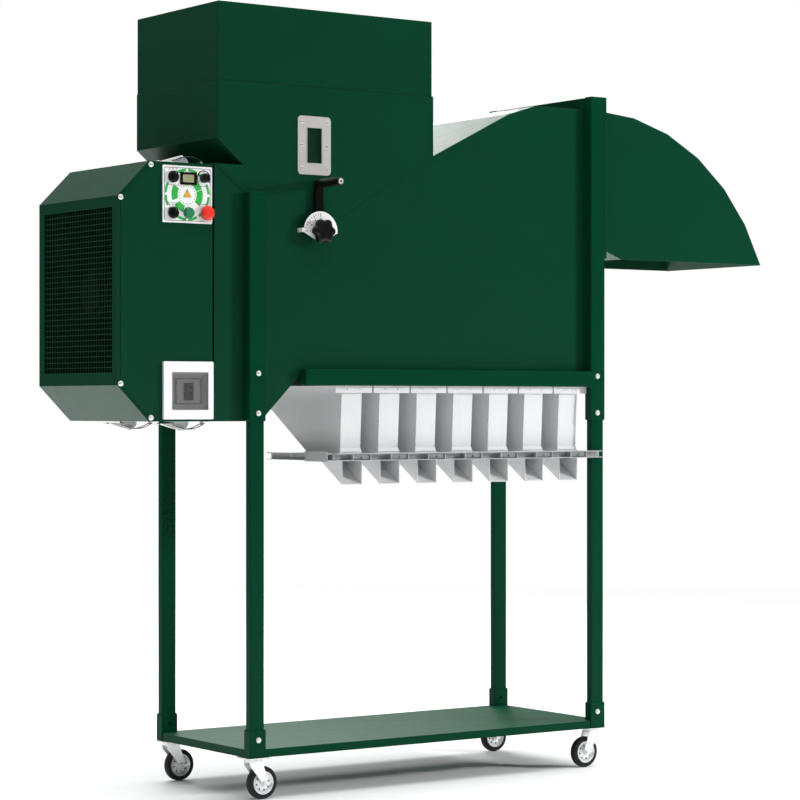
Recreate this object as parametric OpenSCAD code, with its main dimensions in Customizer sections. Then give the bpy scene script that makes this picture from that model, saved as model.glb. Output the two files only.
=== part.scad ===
// Aerodynamic grain separator on casters. Grain runs from the top hopper past a feed flap, a fan
// blows air across the falling curtain, seven funnels catch the sorted grain by weight, and light
// chaff leaves under the curved hood. Millimetres, +Z up, floor at z = 0.

/* [Frame] */
// Length over the legs
frame_l = 1100; // [1090:5:1160]
// Depth over the legs
frame_d = 445; // [430:5:480]
// Overall height of a caster with its plate
caster_h = 103; // [100:1:115]
// Thickness of the folded base shelf
shelf_h = 20; // [15:1:30]
// Width of the leg tubes along the machine
leg_w = 40; // [34:1:41]
// Depth of the leg tubes
leg_d = 20; // [15:1:20]
// Wall of the sleeves and sockets around the legs
sleeve_t = 3; // [2:0.5:4]
// Height of the corner sockets
socket_h = 67; // [50:1:90]
// Height of the lower ends of the upper posts
post_z = 912; // [880:2:940]
// Length of the two posts at the fan end
short_post = 551; // [500:1:580]
// Length of the two posts at the hood end
long_post = 849; // [840:1:870]

/* [Body] */
// Distance of the side walls behind the posts' faces
wall_y = 26; // [26:1:30]
// Sheet thickness of walls and covers
sheet = 2; // [1:0.5:3]
// Height of the side beams
beam_h = 40; // [30:1:50]
// Height of the lower edge of the side beams
beam_z = 999; // [990:1:1010]
// Height of the top of the chamber
roof_z = 1728; // [1720:1:1740]
// Right wall of the hopper
hopper_x = 562; // [540:2:580]
// Height of the hopper extension above the hopper
extension_h = 190; // [100:5:240]

/* [Fan housing] */
// Reach of the fan housing past the legs
fan_reach = 346; // [320:2:360]
// Height of the fan housing
fan_h = 613; // [580:1:620]
// Size of the cut corners
corner = 85; // [60:1:100]
// Diameter of the impeller
impeller_d = 320; // [260:2:330]
// Pitch of the intake mesh
mesh_pitch = 13; // [12:0.5:16]

/* [Hood] */
// Number of flat facets
facet_n = 6; // [4:1:8]
// Length of one facet
facet_l = 123.2; // [110:0.1:130]
// Slope of the first facet in degrees
facet_a = 5.5; // [2:0.5:8]
// Change of slope from facet to facet in degrees
facet_step = 11.4; // [8:0.1:12]

/* [Outlets] */
// Number of funnels
outlet_n = 7; // [5:1:7]
// Pitch of the funnels
outlet_pitch = 114; // [110:1:118]
// Middle of the first funnel
outlet_x = 314.5; // [312:0.5:318]
// Width of a funnel's chute
chute_w = 60; // [54:1:64]

/* [Feed control] */
// Distance of the flap shaft from the left leg
shaft_x = 209; // [205:1:213]
// Height of the flap shaft
shaft_z = 1375; // [1372:1:1378]
// Diameter of the flap shaft
shaft_d = 16; // [12:1:18]
// Distance from the shaft to the grip
lever_r = 117; // [90:1:120]

/* [Casters] */
// Wheel diameter
wheel_d = 80; // [70:1:82]
// Wheel width
wheel_w = 20; // [16:1:24]
// Distance of the wheel axle from the swivel axis
trail = 24; // [18:1:30]

/* [Hidden] */

$fn = 48;
green = [0.06, 0.26, 0.17];
zinc = [0.8, 0.81, 0.82];
black = [0.1, 0.1, 0.1];

fit = 0.05;               // radial clearance of a turning pin
gap = 0.5;                // air between sliding neighbours
rear_y = frame_d - wall_y;
in_y0 = wall_y + sheet;
in_y1 = rear_y - sheet;
post_w = leg_w + 2 * sleeve_t;
post_d = leg_d + 2 * sleeve_t;
shelf_z = caster_h;
leg_z1 = post_z + 150;
beam_x0 = 162;
end_x = frame_l - post_w - 3;
lap_x = end_x + 11;       // the walls lap the back of the right posts below the hood
duct_x0 = -84;
seam_x = -86;
duct_z1 = 1528;
hopper_x0 = -72;
hopper_z0 = 1589;
chute_slope = (hopper_z0 - duct_z1) / (0 - hopper_x0);
throat_r = 19;            // half width of the feed slot
lip_x0 = shaft_x - throat_r - sheet;
lip_x1 = shaft_x + throat_r + sheet;
lip_z = hopper_z0 - chute_slope * (lip_x0 - hopper_x0);
casing_y0 = wall_y + 1.5;
casing_y1 = frame_d - casing_y0;
casing_z1 = post_z + fan_h;
window = [153, 1514, 96, 143];   // left, bottom, width, height of the window frame
pane = [43, 86];
panel = [-226, 1382, 135, 135];  // left, bottom, width, height of the control panel
breaker = [-225, 917, 136, 137]; // the same for the breaker box
deck_z = 830;                    // underside of the perforated deck over the gates
funnel_z = [deck_z + 4, 981, beam_z]; // chute bottom, foot of its flange, mouth
gate_z = deck_z - 3;
gate_y1 = 157;                   // rear edge of a closed gate
spout_z = [754, gate_z - 1];
rail = [240, 1050, -17, 282];    // left, right, front and rear of the gate frame
rail_x1 = 1081;                  // right end of the front channel, ahead of the leg
rail_z0 = deck_z + 2 - 18;       // underside of the frame's channels
throat = [44, 36, 146];          // width, front and rear of an outlet in the deck
swivel = 26;                     // swivel axis from the corner of the frame
bolt_z = [146, 931, 1027];
latch_y = [92, 342];
x_mid = (frame_l + facet_l * facet_sum(0) - fan_reach) / 2;
grip_l = 90;
y_front = 10 - grip_l - 3;
y_back = frame_d + 5;
y_mid = (y_front + y_back) / 2;

// Sum of the cosines of the hood's facets, the hood's length in facets
function facet_sum(i) = i >= facet_n ? 0 : cos(facet_a + i * facet_step) + facet_sum(i + 1);
// Point reached after i facets
function facet_pt(i) = i == 0 ? [frame_l, roof_z]
    : facet_pt(i - 1) + facet_l * [cos(facet_a + (i - 1) * facet_step), -sin(facet_a + (i - 1) * facet_step)];
hood_z0 = facet_pt(facet_n)[1];

// A strip of thickness t along a bent line, with mitred corners
function unit(v) = v / norm(v);
function side(v) = [-v[1], v[0]];
function seg_side(pts, i) = side(unit(pts[i + 1] - pts[i]));
function mitre(pts, i, t) =
    let (n = len(pts),
         a = seg_side(pts, max(i - 1, 0)),
         b = seg_side(pts, min(i, n - 2)))
    pts[i] + (a + b) * t / (1 + a * b);
function strip(pts, t) = concat(pts, [for (i = [len(pts) - 1 : -1 : 0]) mitre(pts, i, t)]);

// Machine coordinates have x = y = 0 at the front left post; the model's origin is mid footprint
module place() { translate([-x_mid, -y_mid, 0]) children(); }
// Children drawn in x and z, standing between y0 and y1
module across(y0, y1) { translate([0, y1, 0]) rotate([90, 0, 0]) linear_extrude(y1 - y0) children(); }
// Children drawn in y and z, standing between x0 and x1
module along(x0, x1) { translate([x0, 0, 0]) rotate([90, 0, 90]) linear_extrude(x1 - x0) children(); }
module box(a, b) { translate(a) cube(b - a); }
module rod_y(x, z, r, y0, y1) { translate([x, y1, z]) rotate([90, 0, 0]) cylinder(h = y1 - y0, r = r); }
module rod_x(y, z, r, x0, x1) { translate([x0, y, z]) rotate([0, 90, 0]) cylinder(h = x1 - x0, r = r); }
module rounded(w, h, r) {
    translate([r, 0]) square([w - 2 * r, h]);
    translate([0, r]) square([w, h - 2 * r]);
    for (x = [r, w - r], y = [r, h - r]) translate([x, y]) circle(r);
}
// The same thing at the front and mirrored at the rear
module both_sides() {
    children();
    translate([0, frame_d, 0]) mirror([0, 1, 0]) children();
}
// The four corners of the frame, each mirrored into place from the front left one
module at_corner(right, rear) {
    translate([right ? frame_l : 0, rear ? frame_d : 0, 0])
        mirror([right ? 1 : 0, 0, 0]) mirror([0, rear ? 1 : 0, 0]) children();
}
module four_corners() { for (right = [false, true], rear = [false, true]) at_corner(right, rear) children(); }

// ---- frame ----
module tube(w, d, z0, z1, t) {
    difference() {
        box([0, 0, z0], [w, d, z1]);
        box([t, t, z0 - 1], [w - t, d - t, z1 + 1]);
    }
}
module bolt_holes(r) { for (z = bolt_z) four_corners() rod_y(post_w / 2 + 2, z, r, -1, post_d + 1); }
module base_shelf() {
    cut = post_w + gap;
    color(green) place() difference() {
        box([2, 2, shelf_z], [frame_l - 2, frame_d - 2, shelf_z + shelf_h]);
        box([2 + sheet, 2 + sheet, shelf_z - 1],
            [frame_l - 2 - sheet, frame_d - 2 - sheet, shelf_z + shelf_h - sheet]);
        four_corners() box([0, 0, shelf_z - 1], [cut, post_d + gap, shelf_z + shelf_h + 1]);
    }
}
module legs() {
    color(green) place() difference() {
        four_corners() {
            tube(post_w, post_d, shelf_z, shelf_z + socket_h, sleeve_t);
            translate([sleeve_t, sleeve_t, 0]) tube(leg_w, leg_d, shelf_z, leg_z1, 2);
        }
        bolt_holes(4.1);
    }
}
module upper_frame() {
    color(green) place() {
        difference() {
            union() {
                for (rear = [false, true]) {
                    at_corner(false, rear) sleeve(short_post);
                    at_corner(true, rear) sleeve(long_post);
                }
            }
            bolt_holes(4.1);
        }
        both_sides() difference() {
            box([beam_x0, 0, beam_z], [frame_l - post_w, wall_y, beam_z + beam_h]);
            box([beam_x0 + sheet, sheet, beam_z + sheet],
                [frame_l, wall_y - sheet, beam_z + beam_h - sheet]);
        }
        box([end_x - 4, post_d, roof_z + 1], [frame_l - post_w + 20, frame_d - post_d, roof_z + 30]);
    }
}
// Post that slips over the leg tube, closed at its top
module sleeve(length) {
    t = sleeve_t - 0.2;
    difference() {
        box([0, 0, post_z], [post_w, post_d, post_z + length]);
        box([t, t, post_z - 1], [post_w - t, post_d - t, post_z + length - 3]);
    }
}

// ---- body ----
module wall_outline() {
    polygon([[duct_x0, post_z], [48, post_z], [beam_x0, post_z + beam_x0 - 48], [beam_x0, beam_z],
             [lap_x, beam_z], [lap_x, hood_z0 + 27.5], [end_x, hood_z0 + 27.5], [end_x, roof_z],
             [890, roof_z - 1], [805, 1702], [hopper_x, 1580],
             [hopper_x, roof_z], [hopper_x0, roof_z], [hopper_x0, hopper_z0], [0, duct_z1],
             [duct_x0, duct_z1]]);
}
module front_wall() {
    color(green) place() difference() {
        union() {
            across(wall_y, in_y0) wall_outline();
            // cheek plate of the duct, lapped over the wall beside the post
            across(wall_y - 1.5, wall_y)
                polygon([[duct_x0, post_z], [-1, post_z], [-1, 1461], [duct_x0, 1526]]);
        }
        rod_y(shaft_x, shaft_z, shaft_d / 2 + fit, wall_y - 1, in_y0 + 1);
        translate([window[0] + window[2] / 2, 0, window[1] + window[3] / 2])
            across(wall_y - 1, in_y0 + 1) square(pane + [4, 4], center = true);
    }
}
module rear_wall() {
    color(green) place() difference() {
        union() {
            across(in_y1, rear_y) wall_outline();
            across(rear_y, rear_y + 1.5)
                polygon([[duct_x0, post_z], [-1, post_z], [-1, 1461], [duct_x0, 1526]]);
        }
        rod_y(shaft_x, shaft_z, shaft_d / 2 + fit, in_y1 - 1, rear_y + 1);
    }
}
module chamber_roof() {
    color(green) place() {
        across(in_y0, in_y1)
            polygon(strip([[end_x - 4, roof_z], [890, roof_z - 1], [805, 1702], [hopper_x, 1580]], sheet));
        box([end_x - sheet, in_y0, beam_z], [end_x, in_y1, hood_z0 + 28]);
    }
}
module hopper_sides() {
    color(green) place() across(in_y0, in_y1) {
        polygon(strip([[hopper_x0, roof_z], [hopper_x0, hopper_z0], [lip_x0, lip_z],
                       [lip_x0, shaft_z - 25]], sheet));
        polygon(strip([[lip_x1, shaft_z - 25], [lip_x1, lip_z], [hopper_x - sheet, 1646],
                       [hopper_x - sheet, roof_z]], sheet));
        polygon([[hopper_x - sheet, 1581.5], [hopper_x, 1581.5], [hopper_x, roof_z],
                 [hopper_x - sheet, roof_z]]);
    }
}
module hopper_extension() {
    top = roof_z + extension_h;
    x0 = hopper_x0 + 1;
    x1 = hopper_x - 4;
    color(green) place() difference() {
        union() {
            box([x0, wall_y + 1, roof_z], [x1, rear_y - 1, top]);
            box([hopper_x0, wall_y, roof_z], [hopper_x, rear_y, roof_z + sheet]);
        }
        box([x0 + sheet, wall_y + 1 + sheet, roof_z - 1], [x1 - sheet, rear_y - 1 - sheet, top + 1]);
    }
}
module air_duct() {
    floor_line = [[duct_x0, post_z], [48, post_z], [beam_x0, post_z + beam_x0 - 48],
                  [beam_x0 + 94, beam_z + 1]];
    color(green) place() {
        across(in_y0, in_y1) {
            polygon(strip(floor_line, sheet));
            polygon([[duct_x0, duct_z1], [-0.5, duct_z1 - 0.2], [-3, duct_z1 - sheet],
                     [duct_x0, duct_z1 - sheet]]);
        }
        // flange that the fan housing closes on
        difference() {
            box([seam_x, wall_y + 4, post_z + 1], [duct_x0, rear_y - 4, duct_z1]);
            box([seam_x - 1, wall_y + 16, post_z + 13], [duct_x0 + 1, rear_y - 16, duct_z1 - 12]);
        }
    }
}
module exhaust_hood() {
    neck_z = hood_z0 + 30;
    lip_x = frame_l + 77;
    outline = concat([for (i = [facet_n : -1 : 0]) facet_pt(i)], [[end_x + 2, roof_z]]);
    color(green) place() {
        across(in_y0, in_y1) {
            polygon(strip(outline, sheet));
            polygon(strip([[end_x, neck_z - sheet], [frame_l + 4, neck_z - sheet], [lip_x, hood_z0]], sheet));
        }
        both_sides() across(wall_y, in_y0)
            polygon(concat([for (i = [0 : facet_n]) facet_pt(i)],
                           [[lip_x, hood_z0], [frame_l + 4, neck_z - sheet], [end_x, neck_z - sheet],
                            [end_x, roof_z]]));
        // edge flanges on the outer faces of the posts
        both_sides() box([frame_l, 0, neck_z - 31], [frame_l + 6, wall_y, post_z + long_post]);
    }
}

// ---- fan ----
function casing_line() = let (x0 = -fan_reach, z0 = post_z, z1 = casing_z1)
    [[seam_x, z0], [x0 + corner, z0], [x0, z0 + corner], [x0, z1 - corner], [x0 + corner, z1], [seam_x, z1]];
grille = [51, 393, 1025, 1417];  // front, rear, bottom and top of the intake recess
module fan_casing() {
    color(green) place() difference() {
        union() {
            across(casing_y0 + sheet, casing_y1 - sheet)
                polygon(strip([for (i = [5 : -1 : 0]) casing_line()[i]], sheet));
            across(casing_y0, casing_y0 + sheet) polygon(casing_line());
            across(casing_y1 - sheet, casing_y1) polygon(casing_line());
        }
        box([-fan_reach - 1, grille[0], grille[2]], [-fan_reach + sheet + 1, grille[1], grille[3]]);
        casing_cutout(panel);
        casing_cutout(breaker);
        for (p = casing_bolts()) rod_y(p[0], p[1], 4.1, casing_y0 - 1, casing_y0 + sheet + 1);
        for (p = casing_bolts()) rod_y(p[0], p[1], 4.1, casing_y1 - sheet - 1, casing_y1 + 1);
    }
}
// Opening behind a box that is set into the housing's front; the box's flange laps it all round
cutout_rim = 4;
module inset_box(r, rim, y0, y1) {
    box([r[0] + rim, y0, r[1] + rim], [r[0] + r[2] - rim, y1, r[1] + r[3] - rim]);
}
module casing_cutout(r) { inset_box(r, cutout_rim, casing_y0 - 1, casing_y0 + sheet + 1); }
function casing_bolts() = let (x0 = -fan_reach, z0 = post_z, z1 = casing_z1, i = 9)
    [[x0 + i, z0 + corner + 4], [x0 + corner + 5, z0 + i],
     [x0 + i, z1 - corner - 4], [x0 + corner + 5, z1 - i]];
module intake_grille() {
    w = grille[1] - grille[0];
    h = grille[3] - grille[2];
    nx = floor(w / mesh_pitch);
    nz = floor(h / mesh_pitch);
    mx = (w - nx * mesh_pitch) / 2;
    mz = (h - nz * mesh_pitch) / 2;
    color(green * 0.8) place() along(-fan_reach + sheet, -fan_reach + 2 * sheet)
        translate([grille[0] - 6, grille[2] - 6]) difference() {
            square([w + 12, h + 12]);
            for (i = [0 : nx - 1], k = [0 : nz - 1])
                translate([6 + mx + i * mesh_pitch + 1, 6 + mz + k * mesh_pitch + 1])
                    square(mesh_pitch - 2);
        }
}
fan_y = frame_d / 2;
fan_z = post_z + fan_h / 2;
module fan_shroud() {
    r = impeller_d / 2 + 5;
    color([0.25, 0.27, 0.26]) place() {
        difference() {
            union() {
                box([-112, casing_y0 + sheet + 1, post_z + sheet + 1],
                    [-110, casing_y1 - sheet - 1, casing_z1 - sheet - 1]);
                rod_x(fan_y, fan_z, r + 2, -180, -110);
            }
            rod_x(fan_y, fan_z, r, -181, -109);
            box([-113, 0, breaker[1] - 1], [-109, 84, breaker[1] + breaker[3] + 1]);
            box([-113, 0, panel[1] - 1], [-109, 84, panel[1] + panel[3] + 1]);
        }
        // motor bracket: two flat bars from the ring to the motor's foot ring
        for (a = [45 : 90 : 359]) translate([0, fan_y, fan_z]) rotate([a, 0, 0])
            box([-222, 66, -9], [-180, r + 2, -5]);
        difference() {
            rod_x(fan_y, fan_z, 70, -222, -190);
            rod_x(fan_y, fan_z, 62, -223, -189);
        }
    }
}
module fan_motor() {
    color([0.3, 0.32, 0.34]) place() difference() {
        union() {
            rod_x(fan_y, fan_z, 62, -300, -185);
            rod_x(fan_y, fan_z, 48, -312, -300);
            for (a = [0 : 30 : 359]) translate([0, fan_y, fan_z]) rotate([a, 0, 0])
                box([-290, 60, -1.5], [-232, 67, 1.5]);
        }
        rod_x(fan_y, fan_z, 10 + fit, -240, -184);
    }
}
module impeller() {
    r = impeller_d / 2;
    color([0.75, 0.76, 0.77]) place() translate([0, fan_y, fan_z]) {
        rod_x(0, 0, 10, -239, -130);
        rod_x(0, 0, 38, -176, -132);
        for (a = [0 : 60 : 359]) rotate([a, 0, 0]) translate([-154, 0, 34]) rotate([0, 0, 38])
            box([-1.5, -34, 0], [1.5, 34, r - 42]);
    }
}

// ---- feed control ----
module feed_flap() {
    color(zinc) place() {
        rod_y(shaft_x, shaft_z, shaft_d / 2, 9.5, rear_y + 3);
        rod_y(shaft_x, shaft_z, 6, -8, 9.5);
        box([shaft_x - throat_r + gap, in_y0 + 1, shaft_z - 1.5],
            [shaft_x + throat_r - gap, in_y1 - 1, shaft_z + 1.5]);
    }
}
module feed_lever() {
    color(black) place() difference() {
        union() {
            rod_y(shaft_x, shaft_z, 17, 10, 23);
            hull() {
                rod_y(shaft_x, shaft_z, 13.5, 11, 22);
                rod_y(shaft_x, shaft_z + lever_r, 10.5, 11, 22);
            }
        }
        rod_y(shaft_x, shaft_z, shaft_d / 2 + 0.02, 9, 24);
        rod_y(shaft_x, shaft_z + lever_r, 4 + fit, 9, 24);
    }
}
module lever_grip() {
    color(black) place() translate([shaft_x, 0, shaft_z + lever_r]) rotate([90, 0, 0]) rotate_extrude()
        polygon([[0, -21], [4, -21], [4, -10.5], [9, -10.5], [10.5, -7], [10.5, 20], [10, 76],
                 [9, grip_l - 10], [6, grip_l - 10], [6, grip_l - 7], [0, grip_l - 7]]);
}
module dial_plate() {
    r = 49;
    color([0.93, 0.93, 0.92]) place() difference() {
        union() {
            across(7, 9) intersection() {
                translate([shaft_x, shaft_z]) circle(r, $fn = 96);
                translate([shaft_x, shaft_z]) polygon([[-r, -3], [0, -28], [r, -3], [r, r], [-r, r]]);
            }
            box([shaft_x - r - 6, 7, shaft_z - 3], [shaft_x - r + 4, 9, shaft_z + 7]);
            box([shaft_x - r - 6, 7, shaft_z - 3], [shaft_x - r - 4, wall_y, shaft_z + 7]);
        }
        rod_y(shaft_x, shaft_z, 7, 6, 10);
    }
}
module star_knob() {
    color(black) place() difference() {
        across(-17, 4) translate([shaft_x, shaft_z]) {
            circle(25);
            for (a = [0 : 60 : 359]) rotate(a) translate([23.5, 0]) circle(8);
        }
        rod_y(shaft_x, shaft_z, 6 + fit, -9, 5);
    }
}
module window_frame() {
    color([0.78, 0.77, 0.77]) place() difference() {
        across(wall_y - 3, wall_y) translate([window[0], window[1]]) rounded(window[2], window[3], 10);
        translate([window[0] + window[2] / 2, 0, window[1] + window[3] / 2])
            across(wall_y - 4, wall_y + 1) square(pane, center = true);
    }
}
module window_glass() {
    color([0.7, 0.8, 0.8, 0.4]) place()
        translate([window[0] + window[2] / 2, 0, window[1] + window[3] / 2])
            across(in_y0, in_y0 + 3) square(pane + [20, 20], center = true);
}

// ---- controls ----
knob_upper = [28, 108];
knob_lower = [28, 23];
knob_speed = [112, 108];
spot_start = [70, 24];
spot_stop = [118, 25];
meter = [47, 92, 45, 27];        // left, bottom, width and height on the panel
function on_panel(p) = [panel[0] + p[0], panel[1] + p[1]];
module panel_hole(p, r) { rod_y(on_panel(p)[0], on_panel(p)[1], r, casing_y0 - 5, casing_y0 + 1); }
module control_panel() {
    y0 = casing_y0 - 4;
    rim = cutout_rim + 1;
    deep_rim = 15;
    step_y = casing_y0 + 16;
    box_y1 = casing_y0 + 48;
    color([0.85, 0.86, 0.86]) place() difference() {
        union() {
            across(y0, casing_y0) translate([panel[0], panel[1]]) rounded(panel[2], panel[3], 3);
            inset_box(panel, rim, casing_y0, step_y);
            inset_box(panel, deep_rim, casing_y0, box_y1);
        }
        inset_box(panel, rim + sheet, casing_y0, step_y - sheet);
        inset_box(panel, deep_rim + sheet, casing_y0, box_y1 - sheet);
        for (p = [knob_upper, knob_lower, knob_speed]) panel_hole(p, 5 + fit);
        for (p = [spot_start, spot_stop]) panel_hole(p, 8 + fit);
    }
    // meter with its bezel
    color([0.15, 0.16, 0.15]) place() translate([panel[0] + meter[0], 0, panel[1] + meter[1]])
        box([0, y0 - 3, 0], [meter[2], y0, meter[3]]);
}
// Round knob with a stem through the panel
module knob(p, r, h, bar) {
    q = on_panel(p);
    y = casing_y0 - 4.3;
    rod_y(q[0], q[1], 5, y, casing_y0 + 10);
    rod_y(q[0], q[1], r, y - h, y);
    if (bar > 0) translate([q[0], 0, q[1]]) box([-bar, y - h - 9, -r + 1], [bar, y - h, r - 1]);
}
module selector_upper() { color(black) place() knob(knob_upper, 14, 6, 4); }
module selector_lower() { color(black) place() knob(knob_lower, 14, 6, 4); }
module speed_knob() { color(black) place() knob(knob_speed, 11.5, 15, 0); }
module start_button() {
    q = on_panel(spot_start);
    color([0.05, 0.5, 0.25]) place() {
        rod_y(q[0], q[1], 12, casing_y0 - 15, casing_y0 - 9);
        rod_y(q[0], q[1], 8, casing_y0 - 9, casing_y0 + 8);
    }
}
module stop_button() {
    q = on_panel(spot_stop);
    color([0.9, 0.15, 0.1]) place() {
        translate([q[0], casing_y0 - 9.5, q[1]]) rotate([90, 0, 0]) rotate_extrude()
            polygon([[0, 0], [18, 0], [18, 5], [15, 8.5], [8, 10.2], [0, 10.5]]);
        rod_y(q[0], q[1], 8, casing_y0 - 9.5, casing_y0 + 8);
    }
}
breaker_win = [22, 22, 100, 90];
module breaker_box() {
    y0 = casing_y0 - 8;
    x = breaker[0];
    z = breaker[1];
    wx = x + breaker_win[0];
    wz = z + breaker_win[1];
    color([0.95, 0.95, 0.95]) place() {
        difference() {
            union() {
                across(y0, casing_y0) translate([x, z]) rounded(breaker[2], breaker[3], 3);
                inset_box(breaker, cutout_rim + 1, casing_y0, casing_y0 + 16);
                box([wx - 2, casing_y0, wz - 2], [wx + breaker_win[2] + 2, 78, wz + breaker_win[3] + 2]);
            }
            box([wx, y0 - 1, wz], [wx + breaker_win[2], 76, wz + breaker_win[3]]);
        }
        // inner cover around the breaker module
        difference() {
            box([wx - 1, y0 + 9, wz - 1], [wx + breaker_win[2] + 1, y0 + 11, wz + breaker_win[3] + 1]);
            box([wx + 38, y0 + 8, wz + 24], [wx + 62, y0 + 12, wz + 64]);
        }
        difference() {
            box([wx + 37, y0 + 7, wz + 23], [wx + 63, 77, wz + 65]);
            box([wx + 40.5, y0 + 6, breaker_pivot[1] - 8], [wx + 59.5, y0 + 24, breaker_pivot[1] + 8]);
        }
    }
}
module breaker_cover() {
    y0 = casing_y0 - 8;
    wx = breaker[0] + breaker_win[0];
    wz = breaker[1] + breaker_win[1];
    color([0.4, 0.42, 0.44, 0.6]) place() {
        box([wx + 1, y0 + 1, wz + 1], [wx + breaker_win[2] - 1, y0 + 3, wz + breaker_win[3] - 5]);
        rod_x(y0 + 2, wz + breaker_win[3] - 4, 2, wx + 1, wx + breaker_win[2] - 1);
        box([wx + 40, y0 - 1.5, wz + 3], [wx + 60, y0 + 1, wz + 6]);
    }
}
breaker_pivot = [casing_y0 + 7, breaker[1] + breaker_win[1] + 46];
module breaker_toggle() {
    wx = breaker[0] + breaker_win[0];
    y = breaker_pivot[0];
    z = breaker_pivot[1];
    color(black) place() {
        rod_x(y, z, 6, wx + 41, wx + 59);
        box([wx + 42, y - 10.5, z + 1], [wx + 58, y, z + 5]);
    }
}

// ---- outlets ----
function outlet_at(i) = outlet_x + i * outlet_pitch;
module funnels() {
    w = chute_w / 2;
    t = 1.5;
    p = outlet_pitch / 2 - 2.5;
    front = wall_y - 7;
    z = funnel_z;
    color(zinc) place() for (i = [0 : outlet_n - 1]) translate([outlet_at(i), 0, 0]) difference() {
        union() {
            chute(w, 0, z[0]);
            box([-p, front, z[1]], [p, front + t, z[2]]);
            box([-p, front, z[2] - t], [p, in_y1, z[2]]);
            box([-w - 4, in_y0 + 4, deck_z + 2], [w + 4, chute_foot + 6, z[0]]);
        }
        chute(w - t, t, deck_z);
    }
}
chute_foot = 186;
// Chute of half width w whose rear floor slopes to the front. Shrunk by t it is the inside, which
// runs out through the mouth and down to z0
module chute(w, t, z0) {
    z = funnel_z;
    slope = (z[1] - z[0]) / (in_y1 - chute_foot);
    lift = t * sqrt(1 + slope * slope);
    y0 = in_y0 + t;
    y1 = in_y1 - t;
    top = z[2] + t;
    along(-w, w) polygon([[y0, top], [y1, top], [y1, z[1] + lift - slope * t],
                          [in_y1 - (z[1] + lift - z0) / slope, z0], [y0 + 8, z0], [y0, z[1]]]);
}
module gate_rails() {
    x0 = rail[0];
    x1 = rail[1];
    y0 = rail[2];
    y1 = rail[3];
    top = deck_z + 2;
    color(zinc) place() difference() {
        union() {
            // front channel, open to the front, with ribs that divide it into cells
            difference() {
                box([x0, y0, rail_z0], [rail_x1, y0 + 20, top]);
                box([x0 - 1, y0 - 1, rail_z0 + sheet], [rail_x1 + 1, y0 + 20 - sheet, deck_z]);
            }
            for (i = [0 : outlet_n - 1], s = [-1, 1]) translate([outlet_at(i) + s * 26, y0, 0])
                box([-1, 0, rail_z0 + 1], [1, 19, deck_z + 1]);
            // perforated deck with its end channels and rear edge
            box([x0, y0 + 20, deck_z], [x1, y1, top]);
            box([x0, y1 - sheet, rail_z0], [x1, y1, top]);
            for (x = [x0, x1 - sheet]) box([x, y0 + 20, rail_z0], [x + sheet, y1, top]);
            for (z = [rail_z0, deck_z]) box([x0 - 14, y0 + 20, z], [x0 + 1, y1, z + sheet]);
            box([x0 - 15.5, 1, rail_z0 - 2], [x0 - 14, 102, top + 5]);
        }
        for (i = [0 : outlet_n - 1]) translate([outlet_at(i), 0, 0]) {
            box([-throat[0] / 2, throat[1], deck_z - 1], [throat[0] / 2, throat[2], top + 1]);
            box([-24.5, y0 + 17, gate_z - 0.6], [24.5, y0 + 21, deck_z]);
        }
    }
}
// Spouts under the deck, open to the front, each with the guides of its slide gate
module spouts() {
    w = chute_w / 2;
    t = 1.5;
    slope = 0.617;
    z = spout_z;
    y0 = in_y0 - 1;
    rear = y0 + (z[1] - z[0]) / slope;
    lift = t * sqrt(1 + slope * slope);
    color(zinc) place() for (i = [0 : outlet_n - 1]) translate([outlet_at(i), 0, 0]) difference() {
        union() {
            along(-w, w) polygon([[y0, z[1]], [rear, z[1]], [y0, z[0]]]);
            box([-w - 8, 6, z[1] - t], [w + 8, gate_y1 + 1, z[1]]);
            for (x = [-31, 25]) box([x, 6, z[1] - t], [x + 6, gate_y1 + 1, deck_z]);
        }
        along(-w + t, w - t) polygon([[y0 - 1, z[1] + 1], [y0 + (z[1] + 1 - z[0] - lift) / slope, z[1] + 1],
                                      [y0 - 1, z[0] + lift - slope]]);
    }
}
module gate(i) {
    y = rail[2] + 4;
    color([0.72, 0.73, 0.74]) place() translate([outlet_at(i), 0, 0]) difference() {
        union() {
            box([-24, y, gate_z], [24, gate_y1, gate_z + 2]);
            box([-24, y, rail_z0 + 4], [24, y + 2, gate_z + 2]);
        }
        rod_y(0, rail_z0 + 8, 2.5, y - 1, y + 3);
    }
}

// ---- fasteners, latches, casters ----
module dome() {
    // dome head on a short shank, along -y from the face at y = 0
    rotate([90, 0, 0]) rotate_extrude() polygon([[0, -6], [4, -6], [4, 0], [7, 0], [7, 1.5], [5.5, 3.8],
                                                 [3, 4.9], [0, 5]]);
}
module dome_bolts() {
    color([0.9, 0.9, 0.9]) place() {
        for (z = bolt_z) four_corners() translate([post_w / 2 + 2, 0, z]) dome();
        for (p = casing_bolts()) both_sides() translate([p[0], casing_y0, p[1]]) dome();
    }
}
module caster_plates() {
    color(zinc) place() four_corners() difference() {
        union() {
            box([-4, -4, shelf_z - 3], [56, 56, shelf_z]);
            translate([swivel, swivel, shelf_z - 7]) cylinder(h = 5, r = 22);
        }
        translate([swivel, swivel, shelf_z - 8]) cylinder(h = 6, r = 8 + fit);
    }
}
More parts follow.
